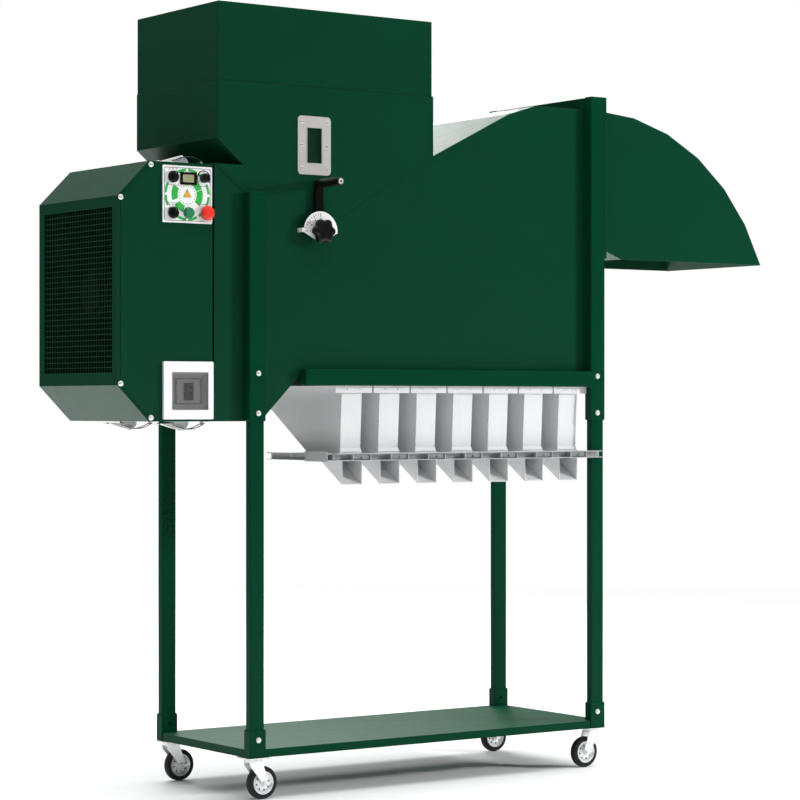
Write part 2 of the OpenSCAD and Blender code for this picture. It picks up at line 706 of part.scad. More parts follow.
// Swivel fork of the corner (right, rear); every fork trails towards the middle of the machine
module fork(right, rear) {
    cz = wheel_d / 2;
    top = shelf_z - 7.5;
    color(zinc) place() at_corner(right, rear) translate([swivel, swivel, 0]) {
        translate([0, 0, top]) cylinder(h = 5, r = 8);
        translate([0, 0, top - 3]) cylinder(h = 3, r = 20);
        for (s = [-1, 1]) across(s * 14 - 1.25, s * 14 + 1.25)
            polygon([[-17, top - 1], [17, top - 1], [trail + 9, cz + 4], [trail + 9, cz - 7],
                     [trail - 7, cz - 7], [trail - 9, cz + 4], [-17, top - 12]]);
        rod_y(trail, cz, 4, -17, 17);
    }
}
module wheel(right, rear) {
    r = wheel_d / 2;
    w = wheel_w / 2;
    color([0.2, 0.2, 0.2]) place() at_corner(right, rear) translate([swivel + trail, swivel, r])
        rotate([90, 0, 0]) difference() {
            rotate_extrude($fn = 96)
                polygon([[0, -w - 2], [9, -w - 2], [9, -w + 4], [r - 12, -w + 4], [r - 11, -w],
                         [r - 4, -w], [r, -w + 5], [r, w - 5], [r - 4, w], [r - 11, w], [r - 12, w - 4],
                         [9, w - 4], [9, w + 2], [0, w + 2]]);
            translate([0, 0, -w - 3]) cylinder(h = wheel_w + 6, r = 4 + fit);
        }
}
// Latches 1 and 2 sit on top of the fan housing, 3 and 4 below it; local u runs along +x
latch_u = -146;
latch_pin = [8, 15];      // the lever's pivot in the base
latch_link = [-17, 9.5];  // the bail's end in the lever
function latch_row(i) = latch_y[(i - 1) % 2];
module latch_place(i) {
    up = i <= 2;
    place() translate([latch_u, latch_row(i), up ? casing_z1 : post_z])
        mirror([0, 0, up ? 0 : 1]) children();
}
module latch_base(i) {
    latch_place(i) {
        box([-32, -9, 0], [27, 9, 1.5]);
        for (s = [-1, 1]) difference() {
            across(s * 7.2 - 0.8, s * 7.2 + 0.8)
                polygon([[-16, 0], [26, 0], [25, 10], [16, 19.5], [2, 19.5], [-9, 10]]);
            rod_y(latch_pin[0], latch_pin[1], 2 + fit, s * 7.2 - 2, s * 7.2 + 2);
        }
        // hook on the duct side of the seam; the duct's top stands above the fan housing's
        translate([0, 0, i <= 2 ? duct_z1 - casing_z1 : 0]) {
            box([64, -6, 0], [84, 6, 1.5]);
            box([66, -5, 0], [67.5, 5, 9]);
        }
    }
}
module latch_bases() { color(zinc) for (i = [1 : 4]) latch_base(i); }
module latch_lever(i) {
    color([0.93, 0.93, 0.92]) latch_place(i) difference() {
        union() {
            rod_y(latch_pin[0], latch_pin[1], 2, -8, 8);
            across(-5.9, 5.9)
                polygon([[-44, 5], [-15, 4.5], [2, 9], [12, 9.8], [15.5, 15.5], [13, 23], [7, 23.5], [-44, 8]]);
            across(-10, 10) polygon([[-43, 5], [-49, 4], [-55, 6.4], [-60, 5.4], [-60, 6.9], [-55, 8],
                                     [-49, 5.6], [-43, 8]]);
        }
        rod_y(latch_link[0], latch_link[1], 1.2 + fit, -7, 7);
    }
}
module latch_bail(i) {
    rise = i <= 2 ? duct_z1 - casing_z1 : 0;
    bend = [latch_link, [11, 20 + 0.35 * rise], [44, 17 + 0.7 * rise], [70, 5 + rise]];
    color(zinc) latch_place(i) {
        for (p = [bend[0], bend[3]]) rod_y(p[0], p[1], 1.2, -10.8, 10.8);
        for (s = [-1, 1], k = [0 : 2]) {
            run = bend[k + 1] - bend[k];
            translate([bend[k][0], s * 9.5, bend[k][1]]) rotate([0, 90 - atan2(run[1], run[0]), 0])
                cylinder(h = norm(run), r = 0.9);
            if (k > 0) rod_y(bend[k][0], bend[k][1], 1.2, s * 9.5 - 1.1, s * 9.5 + 1.1);
        }
    }
}

base_shelf();
legs();
upper_frame();
front_wall();
rear_wall();
chamber_roof();
hopper_sides();
hopper_extension();
air_duct();
exhaust_hood();
fan_casing();
intake_grille();
fan_shroud();
fan_motor();
impeller();
feed_flap();
feed_lever();
lever_grip();
dial_plate();
star_knob();
window_frame();
window_glass();
control_panel();
selector_upper();
selector_lower();
speed_knob();
start_button();
stop_button();
breaker_box();
breaker_cover();
breaker_toggle();
funnels();
gate_rails();
spouts();
dome_bolts();
caster_plates();
latch_bases();
for (i = [1 : outlet_n]) gate(i - 1);
for (right = [false, true], rear = [false, true]) {
    n = str(rear ? "rear" : "front", right ? "_right" : "_left");
    fork(right, rear);
    wheel(right, rear);
}
for (i = [1 : 4]) {
    latch_lever(i);
    latch_bail(i);
}
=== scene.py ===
"""Looks of a wheeled aerodynamic grain separator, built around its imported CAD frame.

Lengths inside the shapes are millimetres in the row frame; MM turns them into Blender's metres.
"""
import math

import bmesh
import bpy
from mathutils import Matrix, Vector


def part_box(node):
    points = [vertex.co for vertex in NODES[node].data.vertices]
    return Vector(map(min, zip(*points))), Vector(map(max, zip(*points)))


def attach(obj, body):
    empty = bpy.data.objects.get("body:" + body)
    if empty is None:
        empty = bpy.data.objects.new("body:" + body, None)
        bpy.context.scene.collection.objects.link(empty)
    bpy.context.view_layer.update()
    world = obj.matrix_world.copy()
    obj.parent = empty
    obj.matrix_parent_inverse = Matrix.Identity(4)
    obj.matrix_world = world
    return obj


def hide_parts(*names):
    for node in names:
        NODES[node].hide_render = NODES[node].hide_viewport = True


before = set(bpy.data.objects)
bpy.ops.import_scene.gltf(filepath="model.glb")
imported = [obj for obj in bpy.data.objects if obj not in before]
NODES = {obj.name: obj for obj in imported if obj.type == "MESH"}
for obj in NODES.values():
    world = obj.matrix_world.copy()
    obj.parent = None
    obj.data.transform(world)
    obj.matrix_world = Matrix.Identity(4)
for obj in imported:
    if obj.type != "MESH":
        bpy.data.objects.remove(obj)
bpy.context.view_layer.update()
MM = 0.001


# ------------------------------------------------------------------ materials
class Mat:
    """A node material on object coordinates, in metres."""

    def __init__(self, name, rough, metallic=0.0, specular=0.5):
        self.m = bpy.data.materials.new(name)
        self.m.use_nodes = True
        self.tree = self.m.node_tree
        self.tree.nodes.clear()
        self.out = self.node("ShaderNodeOutputMaterial")
        self.bsdf = self.node("ShaderNodeBsdfPrincipled")
        self.link(self.bsdf, "BSDF", self.out, "Surface")
        self.coord = self.node("ShaderNodeTexCoord")
        self.bsdf.inputs["Metallic"].default_value = metallic
        self.bsdf.inputs["Roughness"].default_value = rough
        self.bsdf.inputs["Specular IOR Level"].default_value = specular
        self.normal = None

    def node(self, kind, **settings):
        n = self.tree.nodes.new(kind)
        for key, value in settings.items():
            setattr(n, key, value)
        return n

    def link(self, a, out, b, into):
        self.tree.links.new(a.outputs[out], b.inputs[into])

    def stretched(self, sx, sy, sz):
        m = self.node("ShaderNodeMapping")
        m.inputs["Scale"].default_value = (sx, sy, sz)
        self.link(self.coord, "Object", m, "Vector")
        return m

    def noise(self, scale, detail=3.0, source=None):
        n = self.node("ShaderNodeTexNoise")
        n.inputs["Scale"].default_value = scale
        n.inputs["Detail"].default_value = detail
        if source:
            self.link(source, "Vector", n, "Vector")
        else:
            self.link(self.coord, "Object", n, "Vector")
        return n

    def ramp(self, source, out, stops, into_node=None, into=None):
        r = self.node("ShaderNodeValToRGB")
        r.color_ramp.elements[0].position = stops[0][0]
        r.color_ramp.elements[0].color = (*stops[0][1], 1)
        r.color_ramp.elements[1].position = stops[1][0]
        r.color_ramp.elements[1].color = (*stops[1][1], 1)
        self.link(source, out, r, "Fac")
        if into_node:
            self.link(r, "Color", into_node, into)
        return r

    def range(self, source, out, a0, a1, b0, b1):
        r = self.node("ShaderNodeMapRange")
        for key, value in (("From Min", a0), ("From Max", a1), ("To Min", b0), ("To Max", b1)):
            r.inputs[key].default_value = value
        self.link(source, out, r, "Value")
        return r

    def gloss(self, source, from_low, from_high, least, most):
        """Roughness that follows the source between least and most."""
        spread = self.range(source, "Fac", from_low, from_high, least, most)
        self.link(spread, "Result", self.bsdf, "Roughness")

    def bump(self, source, out, strength, depth_mm):
        b = self.node("ShaderNodeBump")
        b.inputs["Strength"].default_value = strength
        b.inputs["Distance"].default_value = depth_mm * MM
        self.link(source, out, b, "Height")
        if self.normal:
            self.link(self.normal, "Normal", b, "Normal")
        self.link(b, "Normal", self.bsdf, "Normal")
        self.normal = b


def edge_mask(mat, radius_mm):
    """0 on flats, up to 1 on rounded or sharp edges."""
    bevel = mat.node("ShaderNodeBevel", samples=4)
    bevel.inputs["Radius"].default_value = radius_mm * MM
    geo = mat.node("ShaderNodeNewGeometry")
    dot = mat.node("ShaderNodeVectorMath", operation="DOT_PRODUCT")
    mat.link(bevel, "Normal", dot, 0)
    mat.link(geo, "Normal", dot, 1)
    return mat.range(dot, "Value", 0.99, 0.80, 0.0, 1.0)


def shade(colour, k):
    return tuple(c * k for c in colour)


def coated(name, colour, rough, specular=0.3, grain_mm=1.6, depth=0.05, mottle=0.10, wear=None, tint=None,
           sheen=0.0):
    """Powder coat or paint: fine orange peel, faint cloudiness, slightly worn edges."""
    m = Mat(name, rough, specular=specular)
    if tint:
        m.bsdf.inputs["Specular Tint"].default_value = (*tint, 1)
    if sheen:
        m.bsdf.inputs["Sheen Weight"].default_value = sheen
        m.bsdf.inputs["Sheen Roughness"].default_value = SHEEN_ROUGHNESS
        m.bsdf.inputs["Sheen Tint"].default_value = (*SHEEN_TINT, 1)
    cloud = m.noise(7.0, 4.0)
    base = m.ramp(cloud, "Fac", [(0.35, shade(colour, 1 - mottle)), (0.68, shade(colour, 1 + mottle))])
    if wear:
        worn_colour, worn_share = wear
        mask = edge_mask(m, WORN_EDGE)
        scuff = m.noise(160.0, 5.0)
        part = m.range(scuff, "Fac", 0.42, 0.62, 0.0, worn_share)
        both = m.node("ShaderNodeMath", operation="MULTIPLY")
        m.link(mask, "Result", both, 0)
        m.link(part, "Result", both, 1)
        mix = m.node("ShaderNodeMix", data_type="RGBA")
        m.tree.links.new(both.outputs[0], mix.inputs["Factor"])
        m.tree.links.new(base.outputs["Color"], mix.inputs[6])
        mix.inputs[7].default_value = (*worn_colour, 1)
        m.tree.links.new(mix.outputs[2], m.bsdf.inputs["Base Color"])
    else:
        m.link(base, "Color", m.bsdf, "Base Color")
    hazy = m.noise(38.0, 3.0)
    m.gloss(hazy, 0.3, 0.7, rough - 0.015, rough + 0.02)
    peel = m.noise(1.0 / (grain_mm * MM), 2.0)
    m.bump(peel, "Fac", 0.35, depth)
    return m.m


def metal(name, colour, rough, brush=(1, 1, 1), scale=420.0, depth=0.02, metallic=1.0, blotch=0.10):
    """Bare or plated metal: a fine grain stretched by brush, and soft blotches in its sheen."""
    m = Mat(name, rough, metallic=metallic)
    grain = m.noise(scale, 4.0, m.stretched(*brush))
    m.ramp(grain, "Fac", [(0.3, shade(colour, 1 - blotch)), (0.7, shade(colour, 1 + blotch * 0.4))],
           m.bsdf, "Base Color")
    blot = m.noise(26.0, 4.0)
    m.gloss(blot, 0.3, 0.7, rough - 0.03, rough + 0.05)
    m.bump(grain, "Fac", 0.4, depth)
    return m.m


def moulded(name, colour, rough, specular=0.5, grain=900.0, depth=0.02, mottle=0.06, coat=0.0):
    """Moulded plastic or rubber: fine spark-eroded grain and slight cloudiness."""
    m = Mat(name, rough, specular=specular)
    cloud = m.noise(45.0, 4.0)
    m.ramp(cloud, "Fac", [(0.3, shade(colour, 1 - mottle)), (0.7, shade(colour, 1 + mottle))],
           m.bsdf, "Base Color")
    m.gloss(cloud, 0.25, 0.75, rough - 0.04, rough + 0.05)
    m.bsdf.inputs["Coat Weight"].default_value = coat
    fine = m.noise(grain, 2.0)
    m.bump(fine, "Fac", 0.3, depth)
    return m.m


def clear(name, colour, rough, alpha):
    """A clear or smoked sheet, with faint smears in its gloss."""
    m = Mat(name, rough)
    smear = m.noise(30.0, 3.0)
    m.ramp(smear, "Fac", [(0.3, shade(colour, 0.95)), (0.7, shade(colour, 1.05))], m.bsdf, "Base Color")
    m.gloss(smear, 0.3, 0.7, rough, rough + 0.06)
    m.bsdf.inputs["Alpha"].default_value = alpha
    fine = m.noise(300.0, 2.0)
    m.bump(fine, "Fac", 0.1, 0.01)
    return m.m


GREEN = (0.0007, 0.0368, 0.0158)
GREEN_GLOSS = (0.62, 1.0, 0.80)
GREEN_WEAR = ((0.02, 0.095, 0.050), 0.5)
SHEEN_TINT = (0.2, 1.0, 0.5)
SHEEN_ROUGHNESS = 0.3
WORN_EDGE = 1.6
UPRIGHT_GRAIN = (1, 1, 0.06)
MATS = {
    "green_paint": coated("green_powder_coat", GREEN, 0.36, specular=0.31, tint=GREEN_GLOSS, mottle=0.035,
                          wear=GREEN_WEAR),
    "grille_paint": coated("grille_powder_coat", shade(GREEN, 0.80), 0.42, specular=0.40, grain_mm=1.0),
    # Dark paint of the fan shroud, also used for painted shade along the duct fold and in the walls' open
    # corners.
    "dark_paint": coated("dark_paint", (0.003, 0.010, 0.006), 0.55, specular=0.2),
    "black_paint": coated("black_satin_paint", (0.0030, 0.0030, 0.0032), 0.26, specular=0.35, grain_mm=0.9),
    "motor_casting": coated("motor_casting", (0.0045, 0.0095, 0.0070), 0.70, specular=0.12, grain_mm=1.1,
                            depth=0.25),
    "fan_alloy": metal("fan_alloy", (0.12, 0.13, 0.125), 0.50, scale=260.0, depth=0.06),
    "zinc_plate": metal("zinc_plate", (0.80, 0.81, 0.83), 0.27, scale=200.0, metallic=0.55),
    "galvanised": metal("pale_sheet_steel", (0.78, 0.785, 0.79), 0.50, brush=UPRIGHT_GRAIN, scale=500.0,
                        metallic=0.12, blotch=0.035),
    "bolt_caps": metal("bright_zinc", (0.90, 0.91, 0.92), 0.18, scale=150.0, depth=0.01, blotch=0.05,
                       metallic=0.5),
    "white_plate": coated("white_dial_lacquer", (0.86, 0.86, 0.855), 0.38, mottle=0.02, depth=0.01),
    "window_alloy": metal("brushed_alloy", (0.60, 0.575, 0.555), 0.42, brush=(1, 1, 0.03), scale=900.0,
                          metallic=0.35, blotch=0.07),
    "window_glass": clear("clear_pane", (0.05, 0.12, 0.085), 0.04, 0.08),
    "panel_face": coated("panel_lacquer", (0.88, 0.885, 0.89), 0.30, specular=0.5, mottle=0.03, depth=0.008),
    "black_plastic": moulded("black_plastic", (0.0035, 0.0035, 0.0038), 0.32, specular=0.35),
    "white_plastic": moulded("white_plastic", (0.89, 0.89, 0.89), 0.34, mottle=0.015),
    "latch_white": coated("latch_lacquer", (0.84, 0.84, 0.83), 0.30, mottle=0.03, depth=0.02),
    "smoked_cover": clear("smoked_cover", (0.10, 0.10, 0.103), 0.12, 0.42),
    "green_button": moulded("green_button", (0.018, 0.20, 0.085), 0.30, coat=0.3),
    "red_button": moulded("red_button", (0.74, 0.032, 0.018), 0.34, coat=0.3),
    "wheel_rubber": moulded("wheel_rubber", (0.011, 0.011, 0.012), 0.58, specular=0.3, grain=500.0, depth=0.06),
}
INK_GREEN = coated("ink_green", (0.042, 0.44, 0.075), 0.32, specular=0.5, mottle=0.05, depth=0.006)
INK_BLACK = coated("ink_black", (0.010, 0.010, 0.011), 0.34, specular=0.5, depth=0.006)
INK_GREY = coated("ink_grey", (0.16, 0.16, 0.17), 0.34, specular=0.5, depth=0.006)
INK_YELLOW = coated("ink_yellow", (0.78, 0.42, 0.020), 0.32, specular=0.5, mottle=0.04, depth=0.006)
GATE_STEEL = metal("gate_steel", (0.30, 0.305, 0.31), 0.42, brush=UPRIGHT_GRAIN, scale=500.0, metallic=0.35,
                   blotch=0.06)
RAIL_STEEL = metal("rail_steel", (0.46, 0.465, 0.47), 0.45, brush=UPRIGHT_GRAIN, scale=500.0, metallic=0.25,
                   blotch=0.05)
LOW_GREEN = coated("stand_powder_coat", GREEN, 0.42, specular=0.08, tint=GREEN_GLOSS, sheen=0.10, mottle=0.035,
                   wear=GREEN_WEAR)
WIRE_STEEL = metal("spring_wire", (0.34, 0.35, 0.345), 0.20, scale=300.0, depth=0.01)
INNER_GREY = moulded("inner_frame_grey", (0.40, 0.40, 0.405), 0.40, mottle=0.02)
LCD = moulded("lcd_glass", (0.36, 0.37, 0.185), 0.22, grain=300.0, depth=0.004, coat=0.5)
# Dark plastic of the breaker module; also the near-black painted shade in rivet, screw and rim holes.
DARK_FACE_AND_HOLE_SHADE = moulded("dark_module_and_hole_shade", (0.012, 0.012, 0.013), 0.42)


# ------------------------------------------------------------------ shapes
def box_mm(node):
    lo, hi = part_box(node)
    return Vector(lo) / MM, Vector(hi) / MM


def rounded_rect(w, h, r, n=5, centre=(0, 0)):
    points = []
    for k, (sx, sy) in enumerate(((1, 1), (-1, 1), (-1, -1), (1, -1))):
        cx, cy = sx * (w / 2 - r), sy * (h / 2 - r)
        for i in range(n + 1):
            a = math.radians(90 * (k + i / n))
            points.append((centre[0] + cx + r * math.cos(a), centre[1] + cy + r * math.sin(a)))
    return points


def circle_points(r, n, centre=(0, 0)):
    return [(centre[0] + r * math.cos(2 * math.pi * i / n), centre[1] + r * math.sin(2 * math.pi * i / n))
            for i in range(n)]


def rect(a0, b0, a1, b1):
    return [(a0, b0), (a1, b0), (a1, b1), (a0, b1)]


def spoke(centre, angle, r0, r1, half):
    """Outline of a radial bar of half width half from r0 to r1, at an angle in degrees."""
    a = math.radians(angle)
    c = Vector(centre)
    d = Vector((math.cos(a), math.sin(a)))
    s = Vector((-math.sin(a), math.cos(a))) * half
    return [tuple(c + d * r0 - s), tuple(c + d * r1 - s), tuple(c + d * r1 + s), tuple(c + d * r0 + s)]


def polar(n, radius):
    """Outline whose radius is a function of the angle."""
    angles = [2 * math.pi * i / n for i in range(n)]
    return [(radius(a, i) * math.cos(a), radius(a, i) * math.sin(a)) for i, a in enumerate(angles)]


def arc_band(r0, r1, a0, a1, n=10, centre=(0, 0)):
    """Outline of a piece of a ring between two angles in degrees."""
    def at(r, k):
        a = math.radians(a0 + (a1 - a0) * k / n)
        return (centre[0] + r * math.cos(a), centre[1] + r * math.sin(a))
    return [at(r1, k) for k in range(n + 1)] + [at(r0, k) for k in range(n, -1, -1)]


class Shape:
    """Closed solids gathered in one mesh. Local a, b lie in a face and h leaves it along out."""

    def __init__(self, origin=(0, 0, 0), out=(0, 0, 1)):
        self.bm = bmesh.new()
        self.place(origin, out)

    def place(self, origin, out=(0, 0, 1)):
        w = Vector(out).normalized()
        v = Vector((0, 1, 0)) if abs(w.z) > 0.9 else Vector((0, 0, 1))
        u = v.cross(w).normalized()
        v = w.cross(u)
        self.m = Matrix((u, v, w)).transposed().to_4x4()
        self.m.translation = Vector(origin)
        return self

    def vert(self, a, b, h):
        return self.bm.verts.new((self.m @ Vector((a, b, h))) * MM)

    def stack(self, rings):
        """Rings of equal count joined into a skin, closed by their first and last ring."""
        for low, high in zip(rings, rings[1:]):
            n = len(low)
            for i in range(n):
                self.bm.faces.new((low[i], low[(i + 1) % n], high[(i + 1) % n], high[i]))
        self.bm.faces.new(list(reversed(rings[0])))
        self.bm.faces.new(rings[-1])
        return self

    def prism(self, outline, h0, h1):
        return self.stack([[self.vert(a, b, h) for a, b in outline] for h in (h0, h1)])

    def layers(self, outline, steps, centre=(0, 0)):
        """The outline at several heights, each (height, scale) about its centre."""
        rings = []
        for h, k in steps:
            rings.append([self.vert(centre[0] + (a - centre[0]) * k, centre[1] + (b - centre[1]) * k, h)
                          for a, b in outline])
        return self.stack(rings)

    def ring(self, outer, inner, h0, h1):
        loops = [[self.vert(a, b, h) for a, b in line] for line, h in
                 ((outer, h0), (outer, h1), (inner, h1), (inner, h0))]
        for low, high in zip(loops, loops[1:] + loops[:1]):
            n = len(low)
            for i in range(n):
                self.bm.faces.new((low[i], low[(i + 1) % n], high[(i + 1) % n], high[i]))
        return self

    def lathe(self, profile, n=40, centre=(0, 0)):
        """Profile of (radius, height) turned about h. A zero radius closes on the axis."""
        loops = []
        for r, h in profile:
            if r <= 1e-6:
                loops.append([self.vert(centre[0], centre[1], h)])
            else:
                loops.append([self.vert(a, b, h) for a, b in circle_points(r, n, centre)])
        for low, high in zip(loops, loops[1:]):
            self.span(low, high, n)
        if len(loops[0]) > 1 and len(loops[-1]) > 1:
            self.span(loops[-1], loops[0], n)
        return self

    def span(self, low, high, n):
        for i in range(n):
            j = (i + 1) % n
            if len(low) == 1:
                self.bm.faces.new((low[0], high[j], high[i]))
            elif len(high) == 1:
                self.bm.faces.new((low[i], low[j], high[0]))
            else:
                self.bm.faces.new((low[i], low[j], high[j], high[i]))

    def wire(self, path, r, n=10):
        """A round wire along local points, capped at both ends."""
        points = [Vector(p) for p in path]
        rings = []
        side = None
        for i, p in enumerate(points):
            ahead = points[min(i + 1, len(points) - 1)] - points[max(i - 1, 0)]
            t = ahead.normalized()
            if side is None:
                side = t.orthogonal().normalized()
            side = (side - t * side.dot(t)).normalized()
            other = t.cross(side)
            rings.append([self.vert(*(p + side * (r * math.cos(2 * math.pi * k / n))
                                      + other * (r * math.sin(2 * math.pi * k / n)))) for k in range(n)])
        return self.stack(rings)


def smooth_path(points, steps=6):
    """Catmull-Rom through the points."""
    p = [Vector(q) for q in points]
    p = [p[0] * 2 - p[1]] + p + [p[-1] * 2 - p[-2]]
    line = []
    for i in range(1, len(p) - 2):
        for k in range(steps):
            t = k / steps
            line.append(0.5 * ((2 * p[i]) + (p[i + 1] - p[i - 1]) * t
                               + (2 * p[i - 1] - 5 * p[i] + 4 * p[i + 1] - p[i + 2]) * t * t
                               + (3 * p[i] - p[i - 1] - 3 * p[i + 1] + p[i + 2]) * t ** 3))
    return line + [p[-2]]


SHARP = math.radians(32)


def soften(obj, width_mm, segments=2):
    bevel = obj.modifiers.new("rounded_edges", "BEVEL")
    bevel.width = width_mm * MM
    bevel.segments = segments
    bevel.limit_method = "ANGLE"
    bevel.angle_limit = SHARP
    bevel.use_clamp_overlap = True
    bevel.harden_normals = True
    return bevel


def mesh_of(name, shape):
    bmesh.ops.recalc_face_normals(shape.bm, faces=shape.bm.faces)
    mesh = bpy.data.meshes.new(name)
    shape.bm.to_mesh(mesh)
    shape.bm.free()
    return mesh


def make(name, shape, body, slot, mat=None, bevel=0.0, replaces=(), angle=35, segments=2):
    """A finished piece: its mesh, material (the slot's, unless mat is given), rounding and body, and the CAD
    nodes that it replaces, which are hidden.
    """
    mesh = mesh_of(name, shape)
    mesh.materials.append(mat or MATS[slot])
    mesh.shade_smooth()
    mesh.set_sharp_from_angle(angle=math.radians(angle))
    obj = bpy.data.objects.new(name, mesh)
    bpy.context.scene.collection.objects.link(obj)
    if bevel:
        soften(obj, bevel, segments)
    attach(obj, body)
    if replaces:
        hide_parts(*replaces)
    return obj


WELD = 0.004    # corners closer than this are one


def cad_shading(name, smooth, least_mm=0):
    """Modifier group: joins split corners, then flat faces, or smooth ones with sharp edges by angle.

    With least_mm, only sharp edges longer than that are marked for rounding, so bolt holes stay as they are.
    """
    g = bpy.data.node_groups.new(name, "GeometryNodeTree")
    g.interface.new_socket("Geometry", in_out="INPUT", socket_type="NodeSocketGeometry")
    g.interface.new_socket("Geometry", in_out="OUTPUT", socket_type="NodeSocketGeometry")
    start = g.nodes.new("NodeGroupInput")
    merge = g.nodes.new("GeometryNodeMergeByDistance")
    merge.inputs["Distance"].default_value = WELD * MM
    plain = g.nodes.new("GeometryNodeRemoveAttribute")
    plain.inputs["Name"].default_value = "custom_normal"
    faces = g.nodes.new("GeometryNodeSetShadeSmooth")
    faces.domain = "FACE"
    faces.inputs["Shade Smooth"].default_value = smooth
    angle = g.nodes.new("GeometryNodeInputMeshEdgeAngle")
    sharp = g.nodes.new("FunctionNodeCompare")
    sharp.data_type = "FLOAT"
    sharp.operation = "GREATER_THAN"
    sharp.inputs[1].default_value = SHARP
    edges = g.nodes.new("GeometryNodeSetShadeSmooth")
    edges.domain = "EDGE"
    edges.inputs["Shade Smooth"].default_value = False
    end = g.nodes.new("NodeGroupOutput")
    chain = [start, merge, plain, faces, edges]
    if least_mm:
        ends = g.nodes.new("GeometryNodeInputMeshEdgeVertices")
        span = g.nodes.new("ShaderNodeVectorMath")
        span.operation = "DISTANCE"
        g.links.new(ends.outputs["Position 1"], span.inputs[0])
        g.links.new(ends.outputs["Position 2"], span.inputs[1])
        long_edge = g.nodes.new("FunctionNodeCompare")
        long_edge.data_type = "FLOAT"
        long_edge.operation = "GREATER_THAN"
        long_edge.inputs[1].default_value = least_mm * MM
        g.links.new(span.outputs["Value"], long_edge.inputs[0])
        both = g.nodes.new("FunctionNodeBooleanMath")
        both.operation = "AND"
        g.links.new(sharp.outputs[0], both.inputs[0])
        g.links.new(long_edge.outputs[0], both.inputs[1])
        mark = g.nodes.new("GeometryNodeStoreNamedAttribute")
        mark.data_type = "FLOAT"
        mark.domain = "EDGE"
        mark.inputs["Name"].default_value = "bevel_weight_edge"
        g.links.new(both.outputs[0], mark.inputs["Value"])
        chain.append(mark)
    chain.append(end)
    for a, b in zip(chain, chain[1:]):
        g.links.new(a.outputs[0], b.inputs[0])
    g.links.new(angle.outputs[0], sharp.inputs[0])
    g.links.new(sharp.outputs[0], edges.inputs["Selection"])
    return g


ROUND_SHADING = cad_shading("cad_round_shading", True)
FLAT_SHADING = cad_shading("cad_flat_shading", False)
TUBE_SHADING = cad_shading("cad_tube_shading", False, least_mm=8)


def dress(node, slot, bevel=0.0, segments=2, mat=None, flat=False, tubes=False):
    """Gives a CAD node its material, shading and rounded edges."""
    obj = NODES[node]
    obj.data.materials.clear()
    obj.data.materials.append(mat or MATS[slot])
    shading = obj.modifiers.new("cad_shading", "NODES")
    shading.node_group = TUBE_SHADING if tubes else FLAT_SHADING if flat else ROUND_SHADING
    if bevel:
        rounding = soften(obj, bevel, segments)
        rounding.harden_normals = not (flat or tubes)
        if tubes:
            rounding.limit_method = "WEIGHT"


def islands(node, reach=0.05):
    """Boxes of the separate solids in a CAD node, in millimetres."""
    mesh = NODES[node].data
    keys = {}
    root = list(range(len(mesh.vertices)))

    def find(i):
        while root[i] != i:
            root[i] = root[root[i]]
            i = root[i]
        return i

    for v in mesh.vertices:
        key = tuple(round(c / MM / reach) for c in v.co)
        root[find(v.index)] = find(keys.setdefault(key, v.index))
    for e in mesh.edges:
        root[find(e.vertices[0])] = find(e.vertices[1])
    boxes = {}
    for v in mesh.vertices:
        p = v.co / MM
        lo, hi = boxes.setdefault(find(v.index), (p.copy(), p.copy()))
        for k in range(3):
            lo[k] = min(lo[k], p[k])
            hi[k] = max(hi[k], p[k])
    return sorted(boxes.values(), key=lambda b: (round(b[0].x), round(b[0].z), round(b[0].y)))


FRONT = (0, -1, 0)
BACK = (0, 1, 0)
LEFT = (-1, 0, 0)
RIGHT = (1, 0, 0)
DOWN = (0, 0, -1)

# ------------------------------------------------------------------ carried-over CAD nodes
for name, width in (("base_shelf", 1.2), ("legs", 2.2), ("upper_frame", 1.8)):
    dress(name, "green_paint", width, mat=LOW_GREEN, tubes=True)
dress("exhaust_hood", "green_paint", 0.7)
for name, width in (("front_wall", 0.6), ("rear_wall", 0.6), ("chamber_roof", 0.7), ("hopper_sides", 0.7),
                    ("hopper_extension", 1.0), ("air_duct", 0.7), ("fan_casing", 0.8)):
    dress(name, "green_paint", width, segments=1, flat=True)
dress("intake_grille", "grille_paint")
dress("fan_shroud", "dark_paint", 0.6)
dress("fan_motor", "motor_casting", 0.8)
dress("impeller", "fan_alloy", 0.6)
dress("feed_flap", "zinc_plate", 0.5)
dress("dial_plate", "white_plate", 0.3)
dress("window_frame", "window_alloy", 0.7)
dress("window_glass", "window_glass", 0.4)
dress("breaker_box", "white_plastic", 1.2, 3)
dress("breaker_cover", "smoked_cover", 0.4)
dress("breaker_toggle", "black_plastic", 0.5)
dress("funnels", "galvanised", 0.35)
dress("gate_rails", "galvanised", 0.3, mat=RAIL_STEEL)
dress("spouts", "galvanised", 0.35)
dress("caster_plates", "zinc_plate", 0.8)
dress("latch_bases", "zinc_plate", 0.35)
for name in NODES:
    if name.startswith("gate_") and name != "gate_rails":
        dress(name, "galvanised", 0.3, mat=GATE_STEEL)
    elif name.startswith("fork_"):
        dress(name, "bolt_caps", 0.5)

# ------------------------------------------------------------------ fasteners on the frame
# Lathe profiles are (radius, height) pairs
DOME = [(0, -5.5), (4, -5.5), (4, 0), (7, 0), (7, 1.0), (6.7, 1.9), (5.9, 3.1), (4.6, 4.1), (3.0, 4.7), (0, 4.9)]
DOME_RISE = 5       # height of the CAD bolt's head
MIDDLE_Y = 40       # bolts nearer than this sit on the front
domes = Shape()
for lo, hi in islands("dome_bolts"):
    c = (lo + hi) / 2
    front = c.y < MIDDLE_Y
    face = lo.y + DOME_RISE if front else hi.y - DOME_RISE
    domes.place((c.x, face, c.z), FRONT if front else BACK)
    domes.lathe(DOME, 28)
make("dome_caps", domes, "frame", "bolt_caps", replaces=["dome_bolts"])

